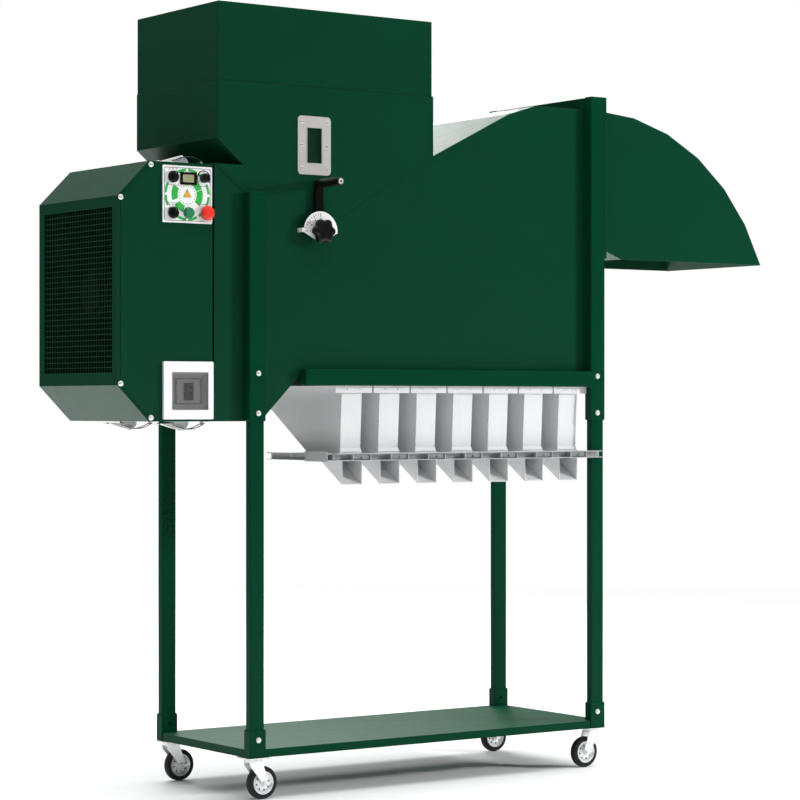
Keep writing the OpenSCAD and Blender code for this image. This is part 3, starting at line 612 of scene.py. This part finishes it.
# ------------------------------------------------------------------ funnel rivets, lips and rail bolts
RIVET = [(0, -1.5), (1.2, -1.5), (1.2, 0), (2.3, 0), (2.2, 0.5), (1.5, 1.1), (0, 1.3)]
SMALL_RIVET = [(r * 0.8, h * 0.8) for r, h in RIVET]
CHUTE_HALF = 30                     # half width of a chute
FLANGE_RIVETS = (-19.5, 19.5)       # from the funnel's middle
SIDE_RIVETS = (27, 88, 148)         # below the funnel's top
rivets = Shape()
lips = Shape()
for lo, hi in islands("funnels"):
    mid = (lo.x + hi.x) / 2
    for dx in FLANGE_RIVETS:
        rivets.place((mid + dx, lo.y, hi.z - 9), FRONT).lathe(RIVET, 14)
    for drop in SIDE_RIVETS:
        for side, out in ((-1, LEFT), (1, RIGHT)):
            rivets.place((mid + side * CHUTE_HALF, lo.y + 15, hi.z - drop), out).lathe(SMALL_RIVET, 12)
    # a sloping lip over each chute's foot
    lips.place((mid, lo.y + 16.2, lo.z + 3.4), FRONT)
    lips.stack([[lips.vert(*p) for p in ring] for ring in (
        ((-32.6, 0, 3.6), (32.6, 0, 3.6), (32.6, 0, 2.2), (-32.6, 0, 2.2)),
        ((-30.2, 9, 0.5), (30.2, 9, 0.5), (30.2, 9, -0.6), (-30.2, 9, -0.6)))])
make("funnel_rivets", rivets, "frame", "zinc_plate")
make("funnel_lips", lips, "frame", "galvanised", bevel=0.2)

HEX = circle_points(6.2, 6)
NUT_Y = 196                         # the nut and its two screws, from the rails' front
rail_lo = box_mm("gate_rails")[0]
screws = Shape()
for dy in (NUT_Y, 176, 232):
    screws.place((rail_lo.x + 15.5, rail_lo.y + dy, rail_lo.z + 12), LEFT)
    if dy == NUT_Y:
        screws.lathe([(0, 0), (7.5, 0), (7.5, 1.2), (0, 1.2)], 24)
        screws.layers(HEX, [(1.2, 1.0), (4.6, 1.0), (5.4, 0.9)])
    else:
        screws.lathe([(0, 0), (2.6, 0), (2.5, 0.9), (1.6, 1.6), (0, 1.8)], 16)
make("rail_screws", screws, "frame", "bolt_caps", bevel=0.25)

# ------------------------------------------------------------------ viewing window
WINDOW_RIVET = [(0, -2), (2, -2), (2, 0), (4.6, 0), (4.5, 0.8), (3.7, 1.9), (1.9, 2.5), (1.3, 0.9), (0, 0.9)]
PANE_MID = (48, 71.5)               # from the frame's lower left corner
win_lo = box_mm("window_frame")[0]
win = Shape()
# Near-black discs in the rivets' hollows are painted shade, standing in for the dark of the holes.
rivet_hole_shade = Shape()
for a in (11, 85):
    for b in (15, PANE_MID[1], 128):
        at = (win_lo.x + a, win_lo.y, win_lo.z + b)
        win.place(at, FRONT).lathe(WINDOW_RIVET, 22)
        rivet_hole_shade.place(at, FRONT).prism(circle_points(1.35, 14), 0.2, 1.0)
make("window_rivets", win, "frame", "bolt_caps")
make("window_rivet_hole_shade", rivet_hole_shade, "frame", "bolt_caps", mat=DARK_FACE_AND_HOLE_SHADE)
inner = Shape((win_lo.x + PANE_MID[0], win_lo.y, win_lo.z + PANE_MID[1]), FRONT)
inner.ring(rounded_rect(47.5, 90.5, 1.8), rounded_rect(43, 86, 1.0), -0.2, 0.9)
make("window_lip", inner, "frame", "window_alloy", bevel=0.25)

# ------------------------------------------------------------------ feed lever, dial and knob
HUB_R = 17
FOOT_R = 13.5                       # the bar's rounded ends
HEAD_R = 10.5
lever_lo, lever_hi = box_mm("feed_lever")
shaft_x = (lever_lo.x + lever_hi.x) / 2
shaft_z = lever_lo.z + HUB_R
grip_z = lever_hi.z - HEAD_R
reach = grip_z - shaft_z
lean = math.asin((FOOT_R - HEAD_R) / reach)
outline = []
for k in range(17):
    a = lean + (math.pi - 2 * lean) * k / 16
    outline.append((HEAD_R * math.cos(a), reach + HEAD_R * math.sin(a)))
for k in range(21):
    a = math.pi - lean + (math.pi + 2 * lean) * k / 20
    outline.append((FOOT_R * math.cos(a), FOOT_R * math.sin(a)))
bar = Shape((shaft_x, lever_hi.y, shaft_z), FRONT)
bar.prism(outline, 1.0, 12.0)
bar.lathe([(0, 0), (HUB_R, 0), (HUB_R, 11.6), (15.6, 13), (0, 13)], 44)
make("lever_bar", bar, "feed_lever", "black_paint", bevel=1.6, segments=3, replaces=["feed_lever"])

grip_lo, grip_hi = box_mm("lever_grip")
grip_foot = (shaft_x, grip_hi.y, grip_z)
length = grip_hi.y - grip_lo.y
grip = Shape(grip_foot, FRONT)
grip.lathe([(0, 0), (3.9, 0), (3.9, 10.6), (8.2, 10.6), (9.4, 11.3), (10.3, 14), (10.7, 24), (10.9, 48),
            (10.7, 74), (10.3, length - 6), (9.4, length - 3.4), (8.0, length - 2.4), (7.6, length - 3.2),
            (0, length - 3.2)], 40)
make("grip_sleeve", grip, "lever_grip", "black_plastic", replaces=["lever_grip"])
cap = Shape(grip_foot, FRONT)
cap.lathe([(0, length - 3.1), (7.0, length - 3.1), (7.0, length - 1.6), (6.2, length - 0.5), (3.4, length - 0.3),
           (2.6, length - 1.9), (0, length - 1.9)], 30)
make("grip_screw", cap, "lever_grip", "bolt_caps")
# A near-black hexagon in the screw's recess: painted shade for the socket's hollow.
socket_shade = Shape(grip_foot, FRONT)
socket_shade.prism(circle_points(2.5, 6), length - 1.95, length - 1.5)
make("grip_socket_shade", socket_shade, "lever_grip", "black_plastic", mat=DARK_FACE_AND_HOLE_SHADE)

TICK = 0.22                         # height of the printed marks
TICK_END = 45.5
DOT_RING = 31
dial_lo, dial_hi = box_mm("dial_plate")
ticks = Shape((shaft_x, dial_lo.y, shaft_z), FRONT)
for k in range(10):
    r0, half = (36, 0.75) if k % 3 == 0 else (39.5, 0.5)
    ticks.prism(spoke((0, 0), 90 + k * 90 / 9, r0, TICK_END, half), 0.0, TICK)
for k in range(4):
    a = math.radians(90 + k * 30)
    ticks.prism(circle_points(1.5, 14, (DOT_RING * math.cos(a), DOT_RING * math.sin(a))), 0.0, TICK)
make("dial_ticks", ticks, "frame", "white_plate", mat=INK_BLACK)
tab = Shape((dial_lo.x, (dial_lo.y + dial_hi.y) / 2 + 2, shaft_z + 2), LEFT)
tab.lathe([(0, 0), (3.4, 0), (3.4, 0.6), (2.8, 1.6), (1.2, 2.1), (0, 2.1)], 20)
make("dial_bracket_screw", tab, "frame", "bolt_caps")

star_back = box_mm("star_knob")[1].y
star = Shape((shaft_x, star_back, shaft_z), FRONT)
lobed = polar(96, lambda a, i: 28.5 + 3.0 * math.cos(6 * a) - 0.3 * math.cos(12 * a))
star.layers(lobed, [(0, 0.80), (1.2, 0.90), (3.5, 0.985), (7, 1.0), (13, 1.0), (16.5, 0.975), (19.0, 0.90),
                    (20.3, 0.78), (20.8, 0.60), (20.9, 0.34)])
make("star_knob_body", star, "star_knob", "black_plastic", replaces=["star_knob"], angle=60)

# ------------------------------------------------------------------ control panel
PANEL_STAND = 3.0                   # the meter's bezel stands this far in front of the panel
INK = 0.16                          # height of printed marks
pan_lo, pan_hi = box_mm("control_panel")
pan_w = pan_hi.x - pan_lo.x
pan_h = pan_hi.z - pan_lo.z
plane = (pan_lo.x, pan_lo.y + PANEL_STAND, pan_lo.z)


def panel_rect(inset, r):
    return rounded_rect(pan_w - inset, pan_h - inset, r, centre=(pan_w / 2, pan_h / 2))


plate = Shape(plane, FRONT)
plate.prism(panel_rect(0, 2.5), -4, -0.9)
plate.prism(panel_rect(7, 1.5), -0.9, 0.0)
plate.ring(panel_rect(0, 2.5), panel_rect(5, 1.5), -0.9, 0.5)
plate.prism(panel_rect(10, 2), -20, -4)
plate.prism(panel_rect(30, 2), -52, -20)
make("panel_plate", plate, "frame", "panel_face", bevel=0.35, replaces=["control_panel"])

art_mid = (66.5, 67)
art = Shape(plane, FRONT)
for k in range(12):
    a0 = 90 + k * 30 + 3
    art.prism(arc_band(55.5, 62, a0, a0 + 24, 8, art_mid), 0, INK)
for a0, span in ((148, 52), (322, 56), (216, 40), (20, 44)):
    art.prism(arc_band(26, 43, a0, a0 + span, 12, art_mid), 0, INK)
for k in range(20):
    a0 = k * 18 + 2
    art.prism(arc_band(21.4, 23.2, a0, a0 + 9, 3, art_mid), 0, INK)
make("panel_art", art, "frame", "panel_face", mat=INK_GREEN)



def triangle(r):
    turns = [math.radians(120 * k) for k in range(3)]
    return [(art_mid[0] + r * math.sin(t), art_mid[1] + 0.5 + r * math.cos(t)) for t in turns]


SIGN_R = 11.5
SPEED_MID = (112, 108)
sign = Shape(plane, FRONT)
sign.prism(triangle(SIGN_R), 0.32, 0.5)
make("panel_sign", sign, "frame", "panel_face", mat=INK_YELLOW)
lines = Shape(plane, FRONT)
lines.prism(triangle(SIGN_R * 1.14), 0.0, 0.3)
lines.prism(arc_band(16.4, 18.8, -35, 215, 30, SPEED_MID), 0, INK + 0.1)
lines.ring(panel_rect(9.5, 1.5), panel_rect(11.7, 1.0), 0, INK)
for a in (-35, 27.5, 90, 152.5, 215):
    lines.prism(spoke(SPEED_MID, a, 13.2, 16.7, 0.5), 0, INK + 0.1)
for a in (18, 28, 38):
    lines.prism(rounded_rect(2.0, 3.4, 0.6, centre=(a, 127)), 0, INK)
    lines.prism(rounded_rect(2.0, 3.0, 0.6, centre=(a, 41.5)), 0, INK)
make("panel_marks", lines, "frame", "panel_face", mat=INK_BLACK)
rules = Shape(plane, FRONT)
for b, a0, a1 in ((88.5, 10, 46), (88.5, 92, 125), (46, 10, 38), (46, 96, 125)):
    rules.prism(rect(a0, b - 0.5, a1, b + 0.5), INK, INK + 0.1)
make("panel_rules", rules, "frame", "panel_face", mat=INK_GREY)
SCREW_INSET = 6.2
corner_screws = Shape(plane, FRONT)
for a in (SCREW_INSET, pan_w - SCREW_INSET):
    for b in (SCREW_INSET, pan_h - SCREW_INSET):
        corner_screws.lathe([(0, 0), (2.3, 0), (2.2, 0.7), (1.3, 1.2), (0.6, 0.7), (0, 0.7)], 16, (a, b))
make("panel_screws", corner_screws, "frame", "bolt_caps")

meter_mid = (69.5, 105.5)
bezel = Shape(plane, FRONT)
bezel.ring(rounded_rect(45, 30, 2.2, centre=meter_mid), rounded_rect(31.5, 18.5, 1.0, centre=meter_mid), -1, 3.0)
make("meter_bezel", bezel, "frame", "black_plastic", bevel=0.7, segments=3)
GLASS = 1.3                         # height of the meter's glass
screen = Shape(plane, FRONT)
screen.prism(rounded_rect(32, 19, 1.0, centre=meter_mid), -0.8, GLASS)
make("meter_screen", screen, "frame", "panel_face", mat=LCD)

DIGIT_W, DIGIT_H, STROKE, DIGIT_PITCH = 4.2, 8.4, 0.9, 8
STROKES = ((0, 0.5, True), (0.5, 0.25, False), (0.5, -0.25, False), (0, -0.5, True), (-0.5, -0.25, False),
           (-0.5, 0.25, False))     # the six strokes of a zero, and whether each one is level
digits = Shape(plane, FRONT)
for k in (-1, 0, 1):
    for u, v, level in STROKES:
        cx = meter_mid[0] + k * DIGIT_PITCH + u * DIGIT_W
        cy = meter_mid[1] + v * DIGIT_H
        w, h = (DIGIT_W, STROKE) if level else (STROKE, DIGIT_H / 2 - 1)
        digits.prism(rect(cx - w / 2, cy - h / 2, cx + w / 2, cy + h / 2), GLASS, GLASS + 0.08)
make("meter_digits", digits, "frame", "panel_face", mat=INK_GREY)


def knob_at(node, height):
    """Centre of a knob or button, at the plane that is height behind its front."""
    lo, hi = box_mm(node)
    return (lo.x + hi.x) / 2, lo.y + height, (lo.z + hi.z) / 2


KNOB_H = 15
for node in ("selector_upper", "selector_lower"):
    seat = knob_at(node, KNOB_H)
    knob = Shape(seat, FRONT)
    knob.lathe([(0, -14), (4.9, -14), (4.9, 0), (14, 0), (14, 3.6), (13.2, 5.4), (11.6, 6), (0, 6)], 40)
    knob.layers(rounded_rect(10.5, 27.0, 4.2),
                [(5.5, 1.04), (6.5, 1.0), (12.5, 0.96), (14.4, 0.86), (KNOB_H, 0.66)])
    make(node + "_knob", knob, node, "black_plastic", replaces=[node], angle=50)
    mark = Shape(seat, FRONT)
    mark.prism(rounded_rect(1.3, 6, 0.5, centre=(0, 7.4)), KNOB_H - 0.1, KNOB_H)
    make(node + "_mark", mark, node, "white_plastic")

seat = knob_at("speed_knob", KNOB_H)
knob = Shape(seat, FRONT)
knob.lathe([(0, -14), (4.9, -14), (4.9, 0.5), (0, 0.5)], 24)
knob.layers(polar(72, lambda a, i: 11.2 + (0.3 if i % 3 else -0.45)),
            [(0, 0.98), (0.6, 1.0), (12.6, 0.95), (14.3, 0.90), (KNOB_H, 0.78)])
make("speed_knob_body", knob, "speed_knob", "black_plastic", replaces=["speed_knob"], angle=50)
mark = Shape(seat, FRONT)
mark.prism(rounded_rect(1.0, 5, 0.4, centre=(0, 6)), KNOB_H - 0.05, KNOB_H)
make("speed_knob_mark", mark, "speed_knob", "white_plastic")

seat = knob_at("start_button", 6)
button = Shape(seat, FRONT)
button.lathe([(0, -16.9), (7.9, -16.9), (7.9, 0), (11.6, 0), (11.9, 0.8), (11.9, 4.0), (11.2, 5.3), (9.6, 5.8),
              (5.5, 5.5), (0, 5.3)], 44)
make("start_cap", button, "start_button", "green_button", replaces=["start_button"])
collar = Shape((seat[0], plane[1], seat[2]), FRONT)
collar.lathe([(12.3, 0), (13.5, 0), (13.5, 3.4), (13.2, 4.2), (12.6, 4.2), (12.3, 3.8)], 44)
make("start_collar", collar, "frame", "green_button")

button = Shape(knob_at("stop_button", 10.5), FRONT)
button.lathe([(0, -17.4), (7.9, -17.4), (7.9, 0), (17.0, 0), (17.9, 0.9), (18, 4.2), (17.3, 6.4), (15.0, 8.4),
              (11.2, 9.7), (6, 10.3), (0, 10.5)], 52)
make("stop_cap", button, "stop_button", "red_button", replaces=["stop_button"])

# ------------------------------------------------------------------ breaker box
brk = tuple(box_mm("breaker_box")[0])
inside = Shape(brk, FRONT)
win_mid = (72, 67)
inside.ring(rounded_rect(72, 62, 1.5, centre=win_mid), rounded_rect(66, 56, 1.0, centre=win_mid), -9, -6.4)
make("breaker_inner_frame", inside, "frame", "white_plastic", mat=INNER_GREY, bevel=0.4)
face = Shape(brk, FRONT)
face.ring(rounded_rect(26, 42, 0.8, centre=(win_mid[0], win_mid[1] - 1)),
          rounded_rect(19, 16, 0.5, centre=(win_mid[0], win_mid[1] + 1)), -7, -6.5)
make("breaker_module_face", face, "frame", "black_plastic", mat=DARK_FACE_AND_HOLE_SHADE, bevel=0.15)
hinge = Shape(brk, FRONT)
hinge.ring(rounded_rect(102, 92, 0.8, centre=win_mid), rounded_rect(100, 90, 0.5, centre=win_mid), -1.2, 0.35)
make("breaker_window_lip", hinge, "frame", "white_plastic", bevel=0.2)

# ------------------------------------------------------------------ fan housing trim, and painted shade at the duct
case_lo, case_hi = box_mm("fan_casing")
cw, ch = case_hi.x - case_lo.x, case_hi.z - case_lo.z
CORNER = 85                         # size of the housing's cut corners
INSET = 8.5                         # margin of the face sheets
near = CORNER + INSET * (math.sqrt(2) - 1)
trim = Shape()
for out, y, s in ((FRONT, case_lo.y, 1), (BACK, case_hi.y, -1)):
    trim.place((case_lo.x, y, case_lo.z), out)
    pts = [(INSET, near), (near, INSET), (cw - 3, INSET), (cw - 3, ch - INSET), (near, ch - INSET),
           (INSET, ch - near)]
    trim.prism([(s * a, b) for a, b in pts], 0, 0.9)
trim_obj = make("casing_face_sheets", trim, "frame", "green_paint")
hole = Shape()
for node, rim_mm in (("control_panel", 6), ("breaker_box", 10)):
    lo, hi = box_mm(node)
    c = (lo + hi) / 2
    w, h = (hi.x - lo.x) / 2 - rim_mm, (hi.z - lo.z) / 2 - rim_mm
    hole.place((c.x, case_lo.y + 6, c.z), FRONT).prism(rect(-w, -h, w, h), 0, 12)
cutter = bpy.data.objects.new("casing_holes", mesh_of("casing_holes", hole))
bpy.context.scene.collection.objects.link(cutter)
boolean = trim_obj.modifiers.new("holes", "BOOLEAN")
boolean.operation = "DIFFERENCE"
boolean.solver = "EXACT"
boolean.object = cutter
bpy.context.view_layer.update()
evaluated = trim_obj.evaluated_get(bpy.context.evaluated_depsgraph_get())
cut_mesh = bpy.data.meshes.new_from_object(evaluated)
trim_obj.modifiers.clear()
trim_obj.data = cut_mesh
bpy.data.objects.remove(cutter)
soften(trim_obj, 0.4)

grille_lo, grille_hi = box_mm("intake_grille")
gw, gh = grille_hi.y - grille_lo.y, grille_hi.z - grille_lo.z
surround = Shape((case_lo.x, (grille_lo.y + grille_hi.y) / 2, (grille_lo.z + grille_hi.z) / 2), LEFT)
surround.ring(rounded_rect(gw - 11, gh - 11, 1.5), rounded_rect(gw - 16, gh - 16, 1.0), -1.4, -0.05)
make("intake_surround", surround, "frame", "green_paint", bevel=0.5)

duct_lo = box_mm("front_wall")[0]
LAP = 1.5                           # the cheek plate stands this far in front of the wall
SHADE_TRIANGLE = ((219.6, 87.6), (245.4, 87.6), (245.4, 113.4))     # from the wall's lower left corner
# A dark strip along the duct's fold: painted shade in the crease.
fold_shade = Shape((duct_lo.x, duct_lo.y + LAP, duct_lo.z), FRONT)
fold_top, fold_foot = Vector((1, 614.6)), Vector((83, 550.4))
along = fold_foot - fold_top
side = Vector((-along.y, along.x)).normalized() * 0.7
fold_shade.prism([tuple(v) for v in (fold_top + side, fold_top - side, fold_foot - side, fold_foot + side)], 0, 1.2)
make("duct_fold_shade_line", fold_shade, "frame", "green_paint", mat=MATS["dark_paint"])
# Near-black triangles just inside each wall's open lower corner: painted shade standing in for the dark inside
# the machine.
shade_triangle = Shape()
wall_hi = box_mm("rear_wall")[1]
for out, y, s in ((FRONT, duct_lo.y + LAP, 1), (BACK, wall_hi.y - LAP, -1)):
    shade_triangle.place((duct_lo.x, y, duct_lo.z), out)
    shade_triangle.prism([(s * a, b) for a, b in SHADE_TRIANGLE], -1.5, -0.5)
make("wall_corner_painted_shade", shade_triangle, "frame", "dark_paint")

# ------------------------------------------------------------------ wheels and forks
def mirrored(half):
    """A lathe profile, then its mirror image on the other side of the wheel."""
    return half + [(r, -h) for r, h in reversed(half)]


TYRE = mirrored([(27.5, -9.2), (29, -9.9), (34, -10), (36.8, -9.2), (38.9, -7.2), (39.8, -4.4), (40, -1.5)])
RIM = mirrored([(4.05, -12), (8.6, -12), (9, -11.4), (9, -6.6), (11, -5.4), (21, -4.6), (24.5, -6.6), (27, -9.4),
                (28.4, -9.4)])
# Near-black discs on the rim where its holes are: painted shade standing in for the holes through the disc.
DISC_HOLE_SHADE = [(0, 4.3), (2.3, 4.3), (2.3, 5.35), (0, 5.35)]
HOLE_RING = 17.5
SWIVEL_IN = 20                      # the swivel's centre, from the fork's end
for corner in ("front_left", "front_right", "rear_left", "rear_right"):
    node = "wheel_" + corner
    lo, hi = box_mm(node)
    c = (lo + hi) / 2
    tyre = Shape((c.x, c.y, c.z), FRONT)
    tyre.lathe(TYRE, 72)
    make("tyre_" + corner, tyre, node, "wheel_rubber", replaces=[node])
    rim_shape = Shape((c.x, c.y, c.z), FRONT)
    rim_shape.lathe(RIM, 56)
    make("rim_" + corner, rim_shape, node, "bolt_caps")
    hole_shade_discs = Shape((c.x, c.y, c.z), FRONT)
    for k in range(8):
        a = math.radians(45 * k + 12)
        for out in (FRONT, BACK):
            hole_shade_discs.place((c.x, c.y, c.z), out)
            hole_shade_discs.lathe(DISC_HOLE_SHADE, 16, (HOLE_RING * math.cos(a), HOLE_RING * math.sin(a)))
    make("rim_hole_shade_" + corner, hole_shade_discs, node, "black_plastic", mat=DARK_FACE_AND_HOLE_SHADE)
    flo, fhi = box_mm("fork_" + corner)
    nuts = Shape()
    for out, y in ((FRONT, flo.y), (BACK, fhi.y)):
        nuts.place((c.x, y, c.z), out).layers(HEX, [(-1.7, 1.0), (-0.1, 1.0), (0.0, 0.86)])
    swivel_x = (flo.x + SWIVEL_IN) if c.x > (flo.x + fhi.x) / 2 else (fhi.x - SWIVEL_IN)
    nuts.place((swivel_x, c.y, fhi.z - 8), DOWN)
    nuts.lathe([(0, 0), (17.5, 0), (16.5, 1.6), (6.5, 2.0), (6.2, 4.6), (0, 4.8)], 36)
    make("fork_nuts_" + corner, nuts, "caster_" + corner, "zinc_plate", bevel=0.2)

# ------------------------------------------------------------------ draw latches
LEVER_TOE = 15.5    # the lever's end past the base's centre, along the latch
LEVER_HEEL = 4.0    # its lowest edge above the housing
PIN = (8, 15)       # where the lever turns on its base
LINK = (-17, 9.5)   # where the bail turns in the lever
ARM_HALF = 5.9      # half widths of the lever and of its tip
TIP_HALF = 9.8
TOE_R = 8
HOOK = 70           # the bail's far end, on the catch
UPPER_RISE = 3.0    # the upper catches stand this much higher
for i in range(1, 5):
    lever, bail = f"latch_lever_{i}", f"latch_bail_{i}"
    l_lo, l_hi = box_mm(lever)
    b_lo, b_hi = box_mm(bail)
    top = i <= 2
    up = 1 if top else -1
    y = (l_lo.y + l_hi.y) / 2
    base_x = l_hi.x - LEVER_TOE
    base_z = (l_lo.z - LEVER_HEEL) if top else (l_hi.z + LEVER_HEEL)
    arm = Shape((base_x, y, base_z), BACK if top else FRONT)

    def uv(points):
        return [(-u if top else u, up * h) for u, h in points]

    toe = []
    for degrees in range(-50, 96, 15):
        a = math.radians(degrees)
        toe.append((PIN[0] + TOE_R * math.cos(a), PIN[1] + TOE_R * math.sin(a)))
    underside = [(-44, 5.2), (-30, 4.8), (-15, 5.0), (-4, 7.4)]
    arm.prism(uv(underside + toe + [(-20, 15.0), (-44, 8)]), -ARM_HALF, ARM_HALF)
    crest = smooth_path([(-42, 7.4, 0), (-46, 5.9, 0), (-49.5, 5.0, 0), (-53, 6.2, 0), (-56, 7.0, 0),
                         (-59.6, 6.0, 0)], 4)
    tip = [(p.x, p.y - 0.8) for p in crest] + [(p.x, p.y + 0.8) for p in reversed(crest)]
    arm.prism(uv(tip), -TIP_HALF, TIP_HALF)
    make(f"latch_arm_{i}", arm, lever, "latch_white", bevel=0.7, segments=3, replaces=[lever])
    pin = Shape()
    for out in (FRONT, BACK):
        pin.place((base_x + PIN[0], y, base_z + up * PIN[1]), out)
        pin.lathe([(0, 5), (2, 5), (2, 8), (3.6, 8), (3.5, 8.5), (2.4, 9.1), (0, 9.3)], 20)
    make(f"latch_pin_{i}", pin, lever, "bolt_caps")
    rise = UPPER_RISE if top else 0.0
    half = (b_hi.y - b_lo.y) / 2 - 1.6

    def wire_point(u, h, across):
        return (base_x + u, y + across, base_z + up * h)

    one = [wire_point(*p) for p in (
        (LINK[0], LINK[1], 1.5), (LINK[0], LINK[1], half - 2.5), (LINK[0] + 2.4, LINK[1] + 0.6, half - 0.3),
        (LINK[0] + 12, LINK[1] + 4.2, half), (11, 17.6 + 0.35 * rise, half), (27, 19.0 + 0.5 * rise, half),
        (44, 16.6 + 0.7 * rise, half), (58, 11 + 0.85 * rise, half), (68, 6.2 + rise, half - 0.4),
        (HOOK, 5 + rise, half - 3), (HOOK, 5 + rise, 1.5))]
    other = [(p[0], 2 * y - p[1], p[2]) for p in reversed(one)]
    loop = Shape()
    loop.wire(smooth_path(one + other + one[:1], 5), 1.25)
    make(f"latch_wire_{i}", loop, bail, "zinc_plate", mat=WIRE_STEEL, replaces=[bail])

# ------------------------------------------------------------------ stage, camera and light
FLOOR_HALF = 14.0                   # metres, like all that follows
FADE_R = 7.5                        # the floor has faded out here
floor = bpy.data.meshes.new("floor")
floor_corners = [(a, b, 0) for a, b in rect(-FLOOR_HALF, -FLOOR_HALF, FLOOR_HALF, FLOOR_HALF)]
floor.from_pydata(floor_corners, [], [(0, 1, 2, 3)])
ground = bpy.data.objects.new("floor", floor)
bpy.context.scene.collection.objects.link(ground)
g = Mat("pale_floor", 0.75, specular=0.15)
speck = g.noise(3.0, 3.0)
g.ramp(speck, "Fac", [(0.3, (0.86, 0.86, 0.86)), (0.7, (0.89, 0.89, 0.89))], g.bsdf, "Base Color")
fade = g.node("ShaderNodeTexGradient", gradient_type="SPHERICAL")
g.link(g.stretched(1 / FADE_R, 1 / FADE_R, 1 / FADE_R), "Vector", fade, "Vector")
edge = g.range(fade, "Fac", 0.02, 0.62, 0.0, 1.0)
g.link(edge, "Result", g.bsdf, "Alpha")
fine = g.noise(120.0, 2.0)
g.bump(fine, "Fac", 0.05, 0.1)
floor.materials.append(g.m)

scene = bpy.context.scene
scene.view_settings.view_transform = "Standard"
scene.view_settings.look = "None"
world = bpy.data.worlds.new("studio")
scene.world = world
world.use_nodes = True
tree = world.node_tree
tree.nodes.clear()
output = tree.nodes.new("ShaderNodeOutputWorld")
lit = tree.nodes.new("ShaderNodeBackground")
sky = tree.nodes.new("ShaderNodeTexCoord")
height = tree.nodes.new("ShaderNodeSeparateXYZ")
glow = tree.nodes.new("ShaderNodeValToRGB")
SKY = ((0.05, (0.045, 0.048, 0.05)), (0.75, (0.62, 0.63, 0.64)))
for stop, (position, colour) in zip(glow.color_ramp.elements, SKY):
    stop.position = position
    stop.color = (*colour, 1)
tree.links.new(sky.outputs["Generated"], height.inputs[0])
tree.links.new(height.outputs["Z"], glow.inputs["Fac"])
tree.links.new(glow.outputs["Color"], lit.inputs["Color"])
lit.inputs["Strength"].default_value = 1.0
seen = tree.nodes.new("ShaderNodeBackground")
seen.inputs["Color"].default_value = (1, 1, 1, 1)
seen.inputs["Strength"].default_value = 1.0
ray = tree.nodes.new("ShaderNodeLightPath")
choose = tree.nodes.new("ShaderNodeMixShader")
tree.links.new(ray.outputs["Is Camera Ray"], choose.inputs["Fac"])
tree.links.new(lit.outputs["Background"], choose.inputs[1])
tree.links.new(seen.outputs["Background"], choose.inputs[2])
tree.links.new(choose.outputs["Shader"], output.inputs["Surface"])


def softbox(name, place, target, size, watts, mirrored=True):
    lamp = bpy.data.lights.new(name, "AREA")
    lamp.shape = "RECTANGLE"
    lamp.size, lamp.size_y = size
    lamp.energy = watts
    o = bpy.data.objects.new(name, lamp)
    o.location = place
    o.rotation_euler = (Vector(target) - Vector(place)).to_track_quat("-Z", "Y").to_euler()
    o.visible_glossy = mirrored
    scene.collection.objects.link(o)


softbox("key_right", (5.0, -4.0, 2.3), (0, 0, 1.1), (0.7, 0.7), 350, False)
softbox("front_fill", (-1.0, -8.0, 2.6), (0, 0, 1.0), (5.0, 3.5), 20, False)
softbox("left_fill", (-7.0, 1.6, 1.3), (0, 0, 1.0), (4.0, 3.0), 100, False)
softbox("rear_fill", (2.0, 7.0, 2.6), (0, 0, 1.0), (4.0, 3.0), 85, False)
softbox("top", (0.0, 0.0, 6.0), (0, 0, 0), (6.0, 6.0), 400, False)
softbox("rear_rim", (2.6, 5.2, 3.4), (0.2, 0, 1.7), (2.2, 1.2), 105)

camera = bpy.data.cameras.new("camera")
camera.sensor_width = 36.0
camera.lens = 120.04
camera.shift_y = 0.0078
camera.clip_end = 60.0
eye = bpy.data.objects.new("camera", camera)
eye.location = (-4.0515, -5.6146, 0.9481)
eye.rotation_euler = (math.radians(90), 0, math.radians(-35.163))
scene.collection.objects.link(eye)
scene.camera = eye


def plain(bounds):
    return [[float(c) for c in corner] for corner in bounds]
